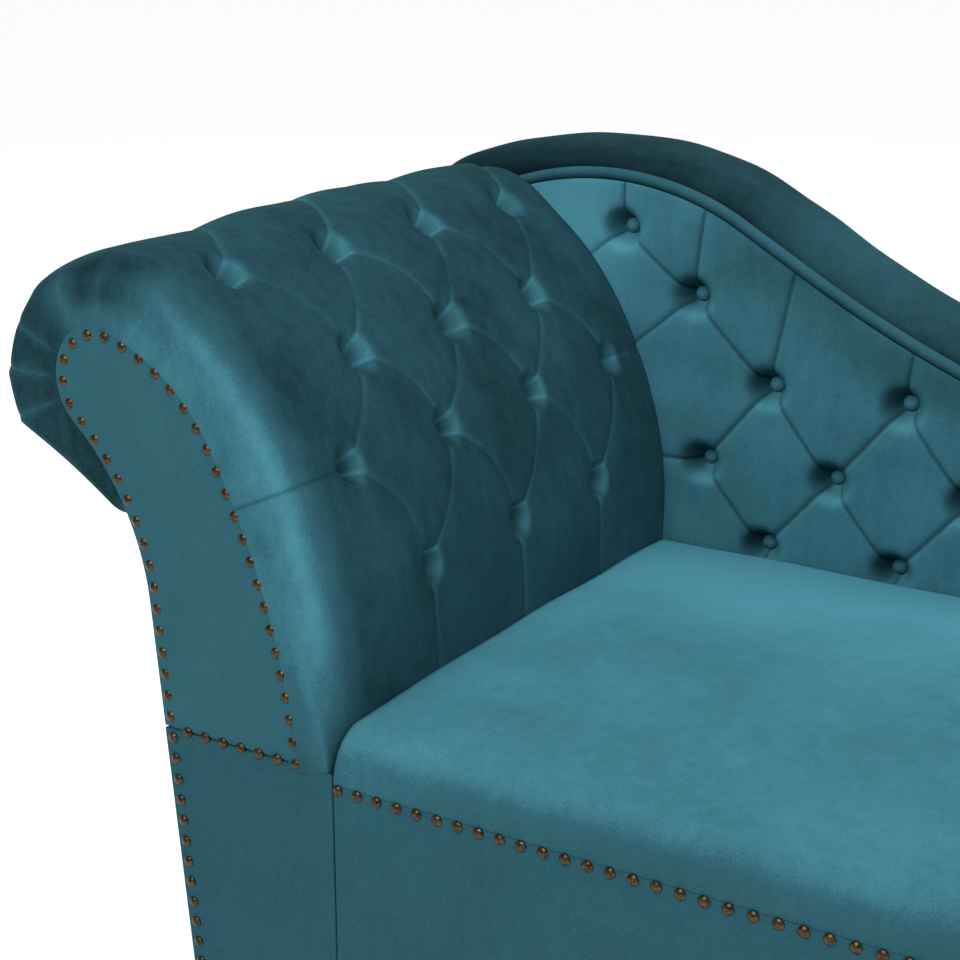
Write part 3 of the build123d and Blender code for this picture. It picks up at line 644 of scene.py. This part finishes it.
slot_materials = {
    "velvet": velvet_plain,
    "frame_wood": frame_wood,
    "foam": foam,
    "felt": felt,
    "dust_cloth": dust_cloth,
    "spring_steel": steel,
    "hardware_steel": steel,
    "nail_bronze": bronze,
    "leg_wood": leg_wood,
    "glide_plastic": glide_plastic,
}
for part in frame["record"]["subparts"]:
    node = frame["nodes"][part["node"]]
    node.data.materials.clear()
    node.data.materials.append(slot_materials[part["material_slot"]])
frame["nodes"]["back_buttons"].data.materials[0] = velvet_button
frame["nodes"]["arm_buttons"].data.materials[0] = velvet_arm


# Outline of the scroll panel
def panel_loop(inset, count=60):
    """Edge of the scroll panel at a distance inside it, from its foot round the scroll and back."""
    low = -panel_split + inset
    straight = (neck_rise - low) / cos(radians(arm_lean))
    moves = [
        (straight, 0),
        (neck_radius + inset, neck_turn),
        (end_radius - inset, -end_turn),
        (shoulder_radius - inset, -shoulder_turn),
    ]
    steps = trace((outside_x(low, inset), low), 90 + arm_lean, moves)
    x, z, heading = end_of(steps)
    flank = flank_radius - inset
    centre_z = z + ray(heading - 90, flank)[1]
    turn = heading + 90 - degrees(asin((low - centre_z) / flank))
    steps += trace((float(x), float(z)), float(heading), [(flank, -turn)])
    points = []
    for step in steps:
        px, pz, _ = point_on(step, np.linspace(0, length_of(step), count, endpoint=False))
        points.append(np.stack([px, pz], -1))
    corner = np.array(end_of(steps)[:2], float)
    foot = np.array(points[0][0])
    back = np.linspace(0, 1, count, endpoint=False)[:, None]
    points.append(corner + back * (foot - corner))
    return np.concatenate(points)


# Tufted inside of the arm
def arm_buttons():
    low, mid, high, top = arm_button_rows
    even = [arm_button_first + arm_button_pitch * k for k in range(arm_columns)]
    odd = [y + arm_button_pitch / 2 for y in even[:-1]]
    return [(low, odd), (mid, even), (high, odd), (top, even)]


def roll_distance(angle):
    start = arm_upright + (inside_radius - arm_tuft_depth) * radians(inside_turn)
    return start + (roll_radius - arm_tuft_depth) * radians(angle - inside_turn)


def bowed(start, end, bow, count=6):
    """Short lines that make up a crease from one button to another, bowed sideways by two amounts."""
    points = []
    for k in range(count + 1):
        u = k / count
        bend = sin(pi * u)
        points.append(tuple(a + u * (b - a) + bend * c for a, b, c in zip(start, end, bow)))
    return list(zip(points, points[1:]))


def arm_creases(s_end, t_front):
    """Creases from button to button, pleats over the roll, down to the seat and to both ends."""
    rows = arm_buttons()
    lines = []
    for (s0, ys0), (s1, ys1) in zip(rows, rows[1:]):
        for y0 in ys0:
            for y1 in ys1:
                if abs(y1 - y0) < arm_button_pitch * 0.6:
                    bow = (crease_bow if y1 < y0 else 0.0, crease_bow)
                    lines += bowed((s0, y0), (s1, y1), bow)
    low, odd = rows[0]
    mid, even = rows[1]
    top, _ = rows[3]
    lines += [((low, y), (arm_foot, y)) for y in odd]
    crown = roll_distance(crown_angle)
    for y in even:
        lines.append(((top, y), (crown, y + pleat_lean)))
        lines.append(((crown, y + pleat_lean), (s_end, y + pleat_lean)))
    lines.append(((mid, even[0]), (mid, t_front)))
    lines.append(((mid, even[-1]), (mid, arm_length)))
    return lines


def panel_depth(x, z, heading):
    """Distance straight in from points of the arm's surface to the edge of its scroll panel."""
    edge = panel_loop(0.0)
    after = np.roll(edge, -1, 0)
    depth = np.zeros(x.shape)
    found = np.full(x.shape, False)
    right_x, right_z = right_of(heading)
    for step in np.arange(0.0, 0.09, 0.001):
        px = x - right_x * step
        pz = z - right_z * step
        crossed = (edge[:, 1] > pz[:, None]) != (after[:, 1] > pz[:, None])
        rise = np.where(crossed, after[:, 1] - edge[:, 1], 1.0)
        at = edge[:, 0] + (pz[:, None] - edge[:, 1]) / rise * (after[:, 0] - edge[:, 0])
        inside = np.sum(crossed & (px[:, None] < at), 1) % 2 == 1
        depth = np.where(inside & ~found, step, depth)
        found = found | inside
    place = np.arange(x.size)
    depth = np.interp(place, place[found], depth[found])
    return np.convolve(np.pad(depth, 4, mode="edge"), np.ones(9) / 9, mode="valid")


def drawn_radius(angle):
    """Radius of the roll where its cloth is drawn straight between the corners of the front end."""
    radius = np.full(angle.shape, roll_radius)
    for (a0, r0), (a1, r1) in zip(roll_corners, roll_corners[1:]):
        sines = r0 * np.sin(np.radians(angle - a0)) + r1 * np.sin(np.radians(a1 - angle))
        between = (angle >= a0) & (angle <= a1)
        chord = r0 * r1 * sin(radians(a1 - a0)) / np.where(between, sines, 1.0)
        radius = np.where(between, chord, radius)
    return radius


def make_arm():
    line = arm_line(arm_tuft_depth)
    edge_length = pi / 2 * ((edge_depth**2 + edge_drop**2) / 2) ** 0.5
    s_range = (arm_foot, total_length(line))
    t_range = (edge_width - edge_length - edge_hem, arm_length)
    creases = arm_creases(s_range[1], t_range[0])
    buttons = [(s, y) for s, ys in arm_buttons() for y in ys]
    s, t, rise = blown_sheet(s_range, t_range, creases, buttons)
    _, mid_row, high_row, top_row = arm_button_rows
    crown = smooth(s, top_row, top_row + crown_blend)
    pit = arm_pit + arm_pit_growth * smooth(s, mid_row, high_row)
    relief = arm_relief + crown_relief * crown
    doming = arm_doming + crown_doming * crown
    height = tuft_heights(s, t, rise, buttons, pit, relief, doming)
    x, z, heading = follow(line, s)
    normal_x, normal_z = right_of(heading)
    angle = heading - 90

    # Front edge: rounded over, then flat across to the scroll panel, and fuller at its foot
    turn = np.clip((edge_width - t) / edge_length, 0, 1) * pi / 2
    hem = np.clip((edge_width - edge_length - t) / edge_hem, 0, 1)
    surface_x = x[:, 0] + normal_x[:, 0] * arm_tuft_depth
    surface_z = z[:, 0] + normal_z[:, 0] * arm_tuft_depth
    inward = panel_depth(surface_x, surface_z, heading[:, 0])[:, None]
    above_foot = smooth(s[:, :1], *foot_heights)
    drop = np.minimum(inward, edge_drop) * (foot_fullness + (1 - foot_fullness) * above_foot)
    flank = 1 - smooth(angle[:, :1], *flank_angles)
    face = inward - drop + panel_tuck + panel_tuck * flank

    # Roll: sagging crown, cloth drawn straight between its front corners and flat underneath
    front = smooth(drawn_reach - t, 0.0, drawn_blend)
    flat = front * (roll_radius - drawn_radius(angle)) * (1 - smooth(turn, *drawn_turns))
    sag = crown_sag + crown_front_sag * (1 - smooth(t, *sag_fade))
    flat = flat + sag * bell(angle - crown_angle, crown_spread) * (1 - hem)
    under = under_radius / np.maximum(np.cos(np.radians(angle - under_angle)), 0.5)
    flat = np.maximum(flat, np.where(angle > under_start, (roll_radius - under) * (1 - hem), -1.0))

    tucked = 1 - smooth(turn, *tuck_turns)
    depth = (1 - height) * arm_tuft_depth * tucked
    pleats = np.zeros(s.shape)
    for at, strength in roll_pleats:
        pleats = pleats + strength * np.exp(-np.abs(s - roll_distance(at)) / pleat_width)
    pleats = pleats * smooth(turn, *pleat_turns) * (1 - smooth(hem, 0.5, 1.0))
    depth = depth + pleat_depth * pleats
    out = arm_tuft_depth - drop * (1 - np.cos(turn)) - hem * face - depth * np.cos(turn) - flat
    out = out + arm_unevenness * waves(x, t, z, 5, 0.11) * tucked
    y = edge_width - edge_depth * np.sin(turn) + np.maximum(t - edge_width, 0)
    y = y + depth * np.sin(turn) * 0.6 - panel_tuck * flank * hem
    outer = np.stack([x + normal_x * out, y, z + normal_z * out], -1)

    rear_line = arm_line(arm_pad_depth)
    bx, bz, _ = follow(rear_line, s[:, 0] * total_length(rear_line) / s_range[1])
    bz = np.where(s[:, 0] < 0, s[:, 0], bz)
    bx = np.where(s[:, 0] < 0, -arm_pad_depth, bx)
    behind_front = np.stack([bx, np.full(bx.shape, edge_width - edge_depth + cover), bz], -1)
    behind_rear = np.stack([bx, np.full(bx.shape, arm_length), bz], -1)
    piece = shell("arm_padding", outer, behind_front, behind_rear, velvet_arm)

    # Shade: creases lit near buttons and over the roll, dark front pleat and roll side, lit streak
    lines = bell(near_lines(s, t, creases), arm_crease_width)
    near = bell(near_points(s, t, buttons), button_light_width)
    over = smooth(s, top_row, top_row + 0.02) * smooth(t, 0.0, 0.05)
    shade = arm_crease_light * lines * np.maximum(near, over) + arm_pleat_light * pleats
    pleat = [((mid_row, arm_button_first), (mid_row, t_range[0]))]
    shade = shade - front_pleat_dark * bell(near_lines(s, t, pleat), front_pleat_width)
    roll_dark = roll_top_dark * smooth(angle, 20.0, 90.0) + roll_side_dark * smooth(angle, 105.0, 145.0)
    shade = shade - np.sin(turn) * roll_dark
    over_front = smooth(angle, 35.0, 75.0) * (1 - smooth(angle, 100.0, 125.0))
    over_front = over_front_dark * over_front * smooth(turn, 0.35, 1.0)
    shade = shade - over_front * (1 - 0.8 * smooth(hem, 0.1, 0.7))
    shade = shade - np.sin(turn) * arm_foot_dark * (1 - smooth(s, -0.04, 0.07))
    streak = bell(turn - 1.05, 0.35) * smooth(s, 0.03, 0.12) * (1 - smooth(angle, 40.0, 75.0))
    at_hem = smooth(hem, 0.0, 0.6) * (1 - smooth(angle, 30.0, 60.0))
    shade = shade + front_streak_light * streak - front_hem_dark * at_hem
    note(piece, "shade", shade)
    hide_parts("arm_inside_cover", "arm_foam")
    return piece


# Tufted inside of the back
def back_spot(row, column):
    z = back_button_rows[row]
    stagger = back_button_pitch / 2 if row % 2 else 0.0
    fan = back_fan * max(z - back_fan_start, 0.0)
    return back_button_x - stagger + back_button_pitch * column - fan, z


def corner_fall(x):
    """How far the top of the inside back, and its piping, dips below the band towards the arm."""
    return corner_curve * np.maximum(corner_x - x, 0) ** 2


def top_line(inset, count=700):
    steps = back_line(inset)[1:]
    x, z, _ = follow(steps, np.linspace(0, total_length(steps), count))
    return x, z - corner_fall(x)


def arm_face_x(z):
    return (inside_radius**2 - max(z - arm_upright, 0) ** 2) ** 0.5 - inside_radius


def back_lattice():
    """Buttons inside the back, and creases between them and from them to the edges."""
    top_x, top_z = top_line(border_thickness + piping_radius)
    margin_x, margin_z = top_line(border_thickness + piping_radius + back_button_margin)
    clear = button_radius + back_button_margin
    spots = {}
    for row in range(len(back_button_rows)):
        for column in back_columns:
            x, z = back_spot(row, column)
            inside = arm_face_x(z) + clear < x < margin_x[-1] - clear
            if inside and z < np.interp(x, margin_x, margin_z):
                spots[row, column] = (x, z)
    creases = []
    for (row, column), (x, z) in spots.items():
        above = [(row + 1, column - row % 2), (row + 1, column + 1 - row % 2)]
        found = [spots[way] for way in above if way in spots]
        creases += [((x, z), other) for other in found]
        if len(found) < 2 and row > 1:
            level = np.interp(x, top_x, top_z)
            slope = (np.interp(x + top_overrun, top_x, top_z) - level) / top_overrun
            end = (x - pleat_splay * slope * (level - z), level + top_overrun)
            creases.append(((x, z), end))
        if row == 0:
            creases.append(((x, z), (x, -back_drop)))
        if row > 2 and (row - 1, column - row % 2) not in spots:
            creases.append(((x, z), (x - arm_side_crease[0], z - arm_side_crease[1])))
    low_row = min(place for (row, _), place in spots.items() if row == 1)
    creases.append((low_row, (back_left, low_row[1])))
    return list(spots.values()), creases, top_x, top_z


def sampled(values, at_a, at_b):
    """Values of a grid between its points, at places counted in its rows and columns."""
    i = np.clip(at_a.astype(int), 0, values.shape[0] - 2)
    j = np.clip(at_b.astype(int), 0, values.shape[1] - 2)
    u = at_a - i
    v = at_b - j
    low = values[i, j] * (1 - u) * (1 - v) + values[i + 1, j] * u * (1 - v)
    return low + values[i, j + 1] * (1 - u) * v + values[i + 1, j + 1] * u * v


def make_back():
    buttons, creases, top_x, top_z = back_lattice()
    edge = list(zip(top_x[::6], top_z[::6]))
    held = creases + list(zip(edge, edge[1:]))
    right = float(top_x.max())
    x_range = (back_left, right)
    z_range = (-back_drop, float(top_z.max()) + top_overrun)
    gx, gz, rise = blown_sheet(x_range, z_range, held, buttons)
    height = tuft_heights(gx, gz, rise, buttons, back_pit, back_relief, back_doming)
    columns = np.arange(back_left, right - 0.0015, grid_step)
    leaning = back_reach * smooth(back_lean_x - columns, 0.0, back_lean_x - back_left)
    tops = np.interp(columns - leaning, top_x, top_z)
    share = np.linspace(0, 1, back_levels)
    x = np.repeat(columns[:, None], share.size, 1)
    z = -back_drop + share[None, :] * (tops[:, None] + back_drop)
    at_x = (x - x_range[0]) / (x_range[1] - x_range[0]) * (gx.shape[0] - 1)
    at_z = (z - z_range[0]) / (z_range[1] - z_range[0]) * (gx.shape[1] - 1)
    tuft = sampled(height, at_x, at_z)
    y = back_dimple - back_tuft_rise * back_fullness * tuft
    y = y + back_unevenness * waves(x, 0 * x, z, 9, 0.10)
    outer = np.stack([x - leaning[:, None] * smooth(z, *back_lean_heights), y, z], -1)
    low = outer[:, 0, :].copy()
    low[:, 1] = back_pad_rear
    high = outer[:, -1, :].copy()
    high[:, 0] = columns
    high[:, 1] = back_pad_rear
    piece = shell("back_padding", outer, low, high, velvet_back)
    # Painted shade in the creases, beside the buttons and under the band; painted light on the top left
    # pads
    lines = bell(near_lines(x, z, creases), back_crease_width)
    beside = near_points(x + pit_shadow_shift, z - pit_shadow_shift, buttons)
    pits = bell(beside, pit_shadow_width)
    under = bell(tops[:, None] - z, under_band_width) * smooth(x, 0.02, 0.10)
    lit = smooth(-x, 0.0, 0.10) * smooth(z, 0.20, 0.30)
    shade = back_corner_light * lit - back_crease_dark * lines
    note(piece, "shade", shade - back_pit_dark * pits - under_band_dark * under)
    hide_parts("back_inside_cover", "back_foam")
    return piece


# Boxing band over the top of the back, and the piping under its front edge
def make_band():
    line = back_line(0.0)
    s = np.arange(0.0, total_length(line), 0.005)
    x, z, heading = follow(line, s)
    right_x, right_z = right_of(heading)
    front = seat_depth + band_proud - band_forward * (1 - smooth(s, *band_forward_run))[:, None]
    across = np.linspace(-1, 1, 33)
    front_fall = band_front_fall * np.abs(across) ** 4.5
    rear_fall = band_rear_fall * across**6
    drop = np.where(across < 0, front_fall, rear_fall) - band_crown * (1 - across**2)
    share = np.concatenate([[0], (across + 1) / 2, [1]])
    foot = [border_thickness + cord_gap]
    section_drop = np.concatenate([foot, drop, foot])
    inset = np.repeat(section_drop[None, :], s.size, 0)
    inset[:, 0] += np.minimum(corner_fall(x), corner_most)
    y = front + (rear_y - front) * share
    soft = smooth(border_thickness - inset, 0.0, 0.012)
    uneven = band_unevenness * waves(x[:, None], y, z[:, None], 21, 0.09)
    inset = inset + soft * (band_unevenness + uneven)
    along = x[:, None] + right_x[:, None] * inset
    points = np.stack([along, y, z[:, None] + right_z[:, None] * inset], -1)
    piece = tube("back_band", points, velvet_band)
    # Painted light in a patch and down the band's fall to the right, less an even painted shade over
    # the band
    painted_band_light = band_patch_light * bell(along - 0.16, 0.075) + band_fall_light * smooth(along, 0.15, 0.28)
    note(piece, "shade", painted_band_light - band_dark)
    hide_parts("back_top_border")
    return piece


def make_piping():
    line = back_line(border_thickness + cord_gap)[1:]
    s = np.arange(0.0, total_length(line), 0.004)
    x, z, heading = follow(line, s)
    right_x, right_z = right_of(heading)
    z = z - corner_fall(x)
    around = np.linspace(0, 2 * pi, 20, endpoint=False)
    off = piping_radius * np.cos(around)[None, :]
    y = seat_depth - cord_forward + piping_radius * np.sin(around)
    y = np.repeat(y[None, :], s.size, 0)
    along = x[:, None] + right_x[:, None] * off
    points = np.stack([along, y, z[:, None] + right_z[:, None] * off], -1)
    piece = tube("back_cord", points, velvet_cord)
    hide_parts("back_piping")
    return piece


# Seat with its rolled front edge
def make_seat():
    nose_x = end_of(back_line(0.0))[0] + seat_gap
    by_back = np.linspace(seat_gap, nose_x, 240)
    past_back = np.linspace(nose_x + step_width, foot_x, 90)
    x = np.concatenate([by_back, past_back])
    rear = np.where(x < nose_x + step_width / 2, seat_rear, rear_y)
    to_foot = np.clip(1 - (foot_x - x) / seat_round, 0, 1)
    end_fall = seat_skirt * (1 - np.sqrt(1 - to_foot**2)) * 0.98
    turn = np.linspace(0, pi / 2, 22)
    top_share = np.linspace(0, 1, 130)[1:]
    rows = []
    for at, y_end, fall in zip(x, rear, end_fall):
        rolled_y = seat_round * (1 - np.cos(turn))
        rolled_z = -seat_skirt + (seat_skirt - seat_sink) * np.sin(turn)
        top_y = seat_round + top_share * (y_end - seat_round)
        share = (top_y - seat_round) / (y_end - seat_round)
        crown = seat_crown * (1 - (2 * share - 1) ** 2)
        top_z = -seat_sink + crown * (1 - 0.7 * exp(-at / seat_arm_reach))
        y = np.concatenate([rolled_y, top_y])
        z = np.concatenate([rolled_z, top_z])
        rows.append(np.stack([np.full(y.shape, at), y, np.maximum(z - fall, -seat_skirt)], -1))
    outer = np.array(rows)
    across = outer[:, :, 0]
    deep = outer[:, :, 1]
    outer[:, :, 2] += seat_unevenness * waves(across, deep, 0 * deep, 33, 0.16)
    outer[:, 0, 2] = -seat_skirt
    front = outer[:, 0, :] + np.array((0, 0.010, 0))
    back = np.stack([x, rear, np.full(x.shape, -seat_skirt - 0.0005)], -1)
    piece = shell("seat_padding", outer, front, back, velvet_seat)
    # Painted light towards the rear and by the arm, painted shade down the rolled front
    rearward = smooth(deep, 0.25, 0.57)
    by_arm = np.exp(-across / seat_arm_reach)
    fronting = (1 - smooth(outer[:, :, 2], -0.026, -0.010)) * (1 - smooth(deep, 0.02, 0.04))
    shade = seat_rear_light * rearward + seat_arm_light * by_arm - seat_front_dark * fronting
    note(piece, "shade", shade)
    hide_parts("seat_cover", "seat_foam")
    return piece


# Scroll panel and flat covers
def make_scroll_panel():
    """Low crowned pad from loops of its edge, each at an inset and a depth behind the front face."""
    insets = (0.0, 0.0, 0.0006, 0.002, 0.005, 0.010, 0.016, 0.024, 0.032)
    depths = (0.004, 0.0022, 0.0010, 0.0002, -0.0004, -0.0008, -0.0011, -0.0013, -0.0014)
    loops = []
    for inset, depth in zip(insets, depths):
        loop = panel_loop(inset)
        loops.append(np.stack([loop[:, 0], np.full(len(loop), depth), loop[:, 1]], -1))
    piece = tube("scroll_panel", np.array(loops), velvet_front)
    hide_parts("arm_scroll_panel")
    return piece


def board(name, outline, thickness, node, material):
    """Flat cover: an outline of points pushed back by its thickness, with softened edges."""
    outline = np.asarray(outline, float)
    count = len(outline)
    points = np.concatenate([outline, outline + np.asarray(thickness, float)])
    faces = [tuple(range(count)), tuple(range(2 * count - 1, count - 1, -1))]
    for k in range(count):
        n = (k + 1) % count
        faces.append((k, count + k, count + n, n))
    piece = make_piece(name, points, faces, material, shade_smooth=False)
    bevel = piece.modifiers.new("softened", "BEVEL")
    bevel.width = 0.0018
    bevel.segments = 3
    bevel.limit_method = "ANGLE"
    bevel.angle_limit = radians(50)
    bevel.harden_normals = True
    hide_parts(node)
    return piece


def make_covers():
    top = -panel_split - seat_gap
    right = -seat_gap
    lower = [(outside_x(base_z), base_z), (right, base_z), (right, top), (outside_x(top), top)]
    lower = [(x, 0, z) for x, z in lower]
    board("lower_panel", lower, (0, cover, 0), "arm_lower_panel", velvet_rail)
    low = -seat_skirt
    front = [(0.0, base_z), (foot_x, base_z), (foot_x, low), (0.0, low)]
    front = [(x, 0, z) for x, z in front]
    board("front_cover", front, (0, cover, 0), "front_rail_cover", velvet_rail)
    foot = [(cover, base_z), (rear_y - cover, base_z), (rear_y - cover, low), (cover, low)]
    foot = [(foot_x, y, z) for y, z in foot]
    board("foot_cover", foot, (-cover, 0, 0), "foot_rail_cover", velvet_plain)

    # Rear: along the back's top, down its low end, round the seat and up the arm's outside
    steps = back_line(border_thickness)
    x, z, _ = follow(steps, np.linspace(0, total_length(steps), 160))
    rear = list(zip(x, z))
    step_x = end_of(back_line(0.0))[0] + step_width
    rear += [(step_x, float(z[-1])), (step_x, low), (foot_x, low), (foot_x, base_z)]
    straight = (neck_rise - base_z) / cos(radians(arm_lean))
    neck_part = neck_angle((back_end_x, back_end_z), back_end_radius)[1]
    moves = [(straight, 0), (neck_radius, neck_part)]
    left = trace((outside_x(base_z), base_z), 90 + arm_lean, moves)
    x, z, _ = follow(left, np.linspace(0, total_length(left), 40))
    rear += list(zip(x, z))
    rear = [(a, rear_y, b) for a, b in rear]
    board("rear_cover", rear, (0, -cover, 0), "back_outside_cover", velvet_plain)

    # Arm's outside: up its outer line, tucked in under the roll, and down its inner line
    tucked_in = neck_part + 6.0
    short = 0.0005
    moves = [(straight, 0), (neck_radius, tucked_in)]
    line = trace((outside_x(base_z), base_z), 90 + arm_lean, moves)
    x, z, _ = follow(line, np.linspace(0, total_length(line) - short, 60))
    side = [(a, cover, b) for a, b in zip(x, z)]
    moves = [(straight, 0), (neck_radius + cover, tucked_in)]
    inner = trace((outside_x(base_z, cover), base_z), 90 + arm_lean, moves)
    x, z, _ = follow(inner, np.linspace(total_length(inner) - short, 0, 60))
    side += [(a, cover, b) for a, b in zip(x, z)]
    board("side_cover", side, (0, rear_y - 2 * cover, 0), "arm_outside_cover", velvet_plain)


make_arm()
make_back()
make_band()
make_piping()
make_seat()
make_scroll_panel()
make_covers()


# Floor, light and camera
def add_floor():
    mesh = bpy.data.meshes.new("floor")
    size = 30.0
    corners = [(-size, -size, 0), (size, -size, 0), (size, size, 0), (-size, size, 0)]
    mesh.from_pydata(corners, [], [(0, 1, 2, 3)])
    floor = bpy.data.objects.new("floor", mesh)
    bpy.context.scene.collection.objects.link(floor)
    material, _, _, shader = new_material("floor")
    shader.inputs["Base Color"].default_value = (0.90, 0.90, 0.90, 1.0)
    shader.inputs["Roughness"].default_value = 0.9
    shader.inputs["Emission Color"].default_value = (1.0, 1.0, 1.0, 1.0)
    shader.inputs["Emission Strength"].default_value = 0.56
    mesh.materials.append(material)


def add_light(name, place, aim, size, power):
    light = bpy.data.lights.new(name, "AREA")
    light.shape = "RECTANGLE"
    light.size, light.size_y = size
    light.energy = power
    lamp = bpy.data.objects.new(name, light)
    bpy.context.scene.collection.objects.link(lamp)
    lamp.location = place
    way = np.array(place, float) - np.array(aim, float)
    lamp.rotation_euler = (acos(way[2] / np.linalg.norm(way)), 0, atan2(way[1], way[0]) + pi / 2)


def add_camera():
    data = bpy.data.cameras.new("camera")
    data.lens = camera_lens
    data.sensor_width = camera_sensor
    camera = bpy.data.objects.new("camera", data)
    bpy.context.scene.collection.objects.link(camera)
    camera.location = camera_place
    camera.rotation_euler = (radians(90 - camera_dip), 0, radians(camera_turn))
    bpy.context.scene.camera = camera


add_floor()
add_light("key", place=(-0.3, -2.8, 2.9), aim=(-0.2, 0.1, 0.6), size=(2.2, 1.8), power=70.0)
add_light("fill", place=(2.6, -1.4, 1.8), aim=(-0.2, 0.1, 0.6), size=(1.6, 1.6), power=14.0)
add_light("top", place=(0.2, 0.2, 3.2), aim=(-0.1, 0.0, 0.5), size=(2.6, 2.2), power=45.0)
add_camera()

world = bpy.data.worlds.new("studio")
bpy.context.scene.world = world
world.use_nodes = True
world.node_tree.nodes["Background"].inputs["Color"].default_value = (1.0, 1.0, 1.0, 1.0)
world.node_tree.nodes["Background"].inputs["Strength"].default_value = 0.45

bpy.context.scene.view_settings.view_transform = "Standard"
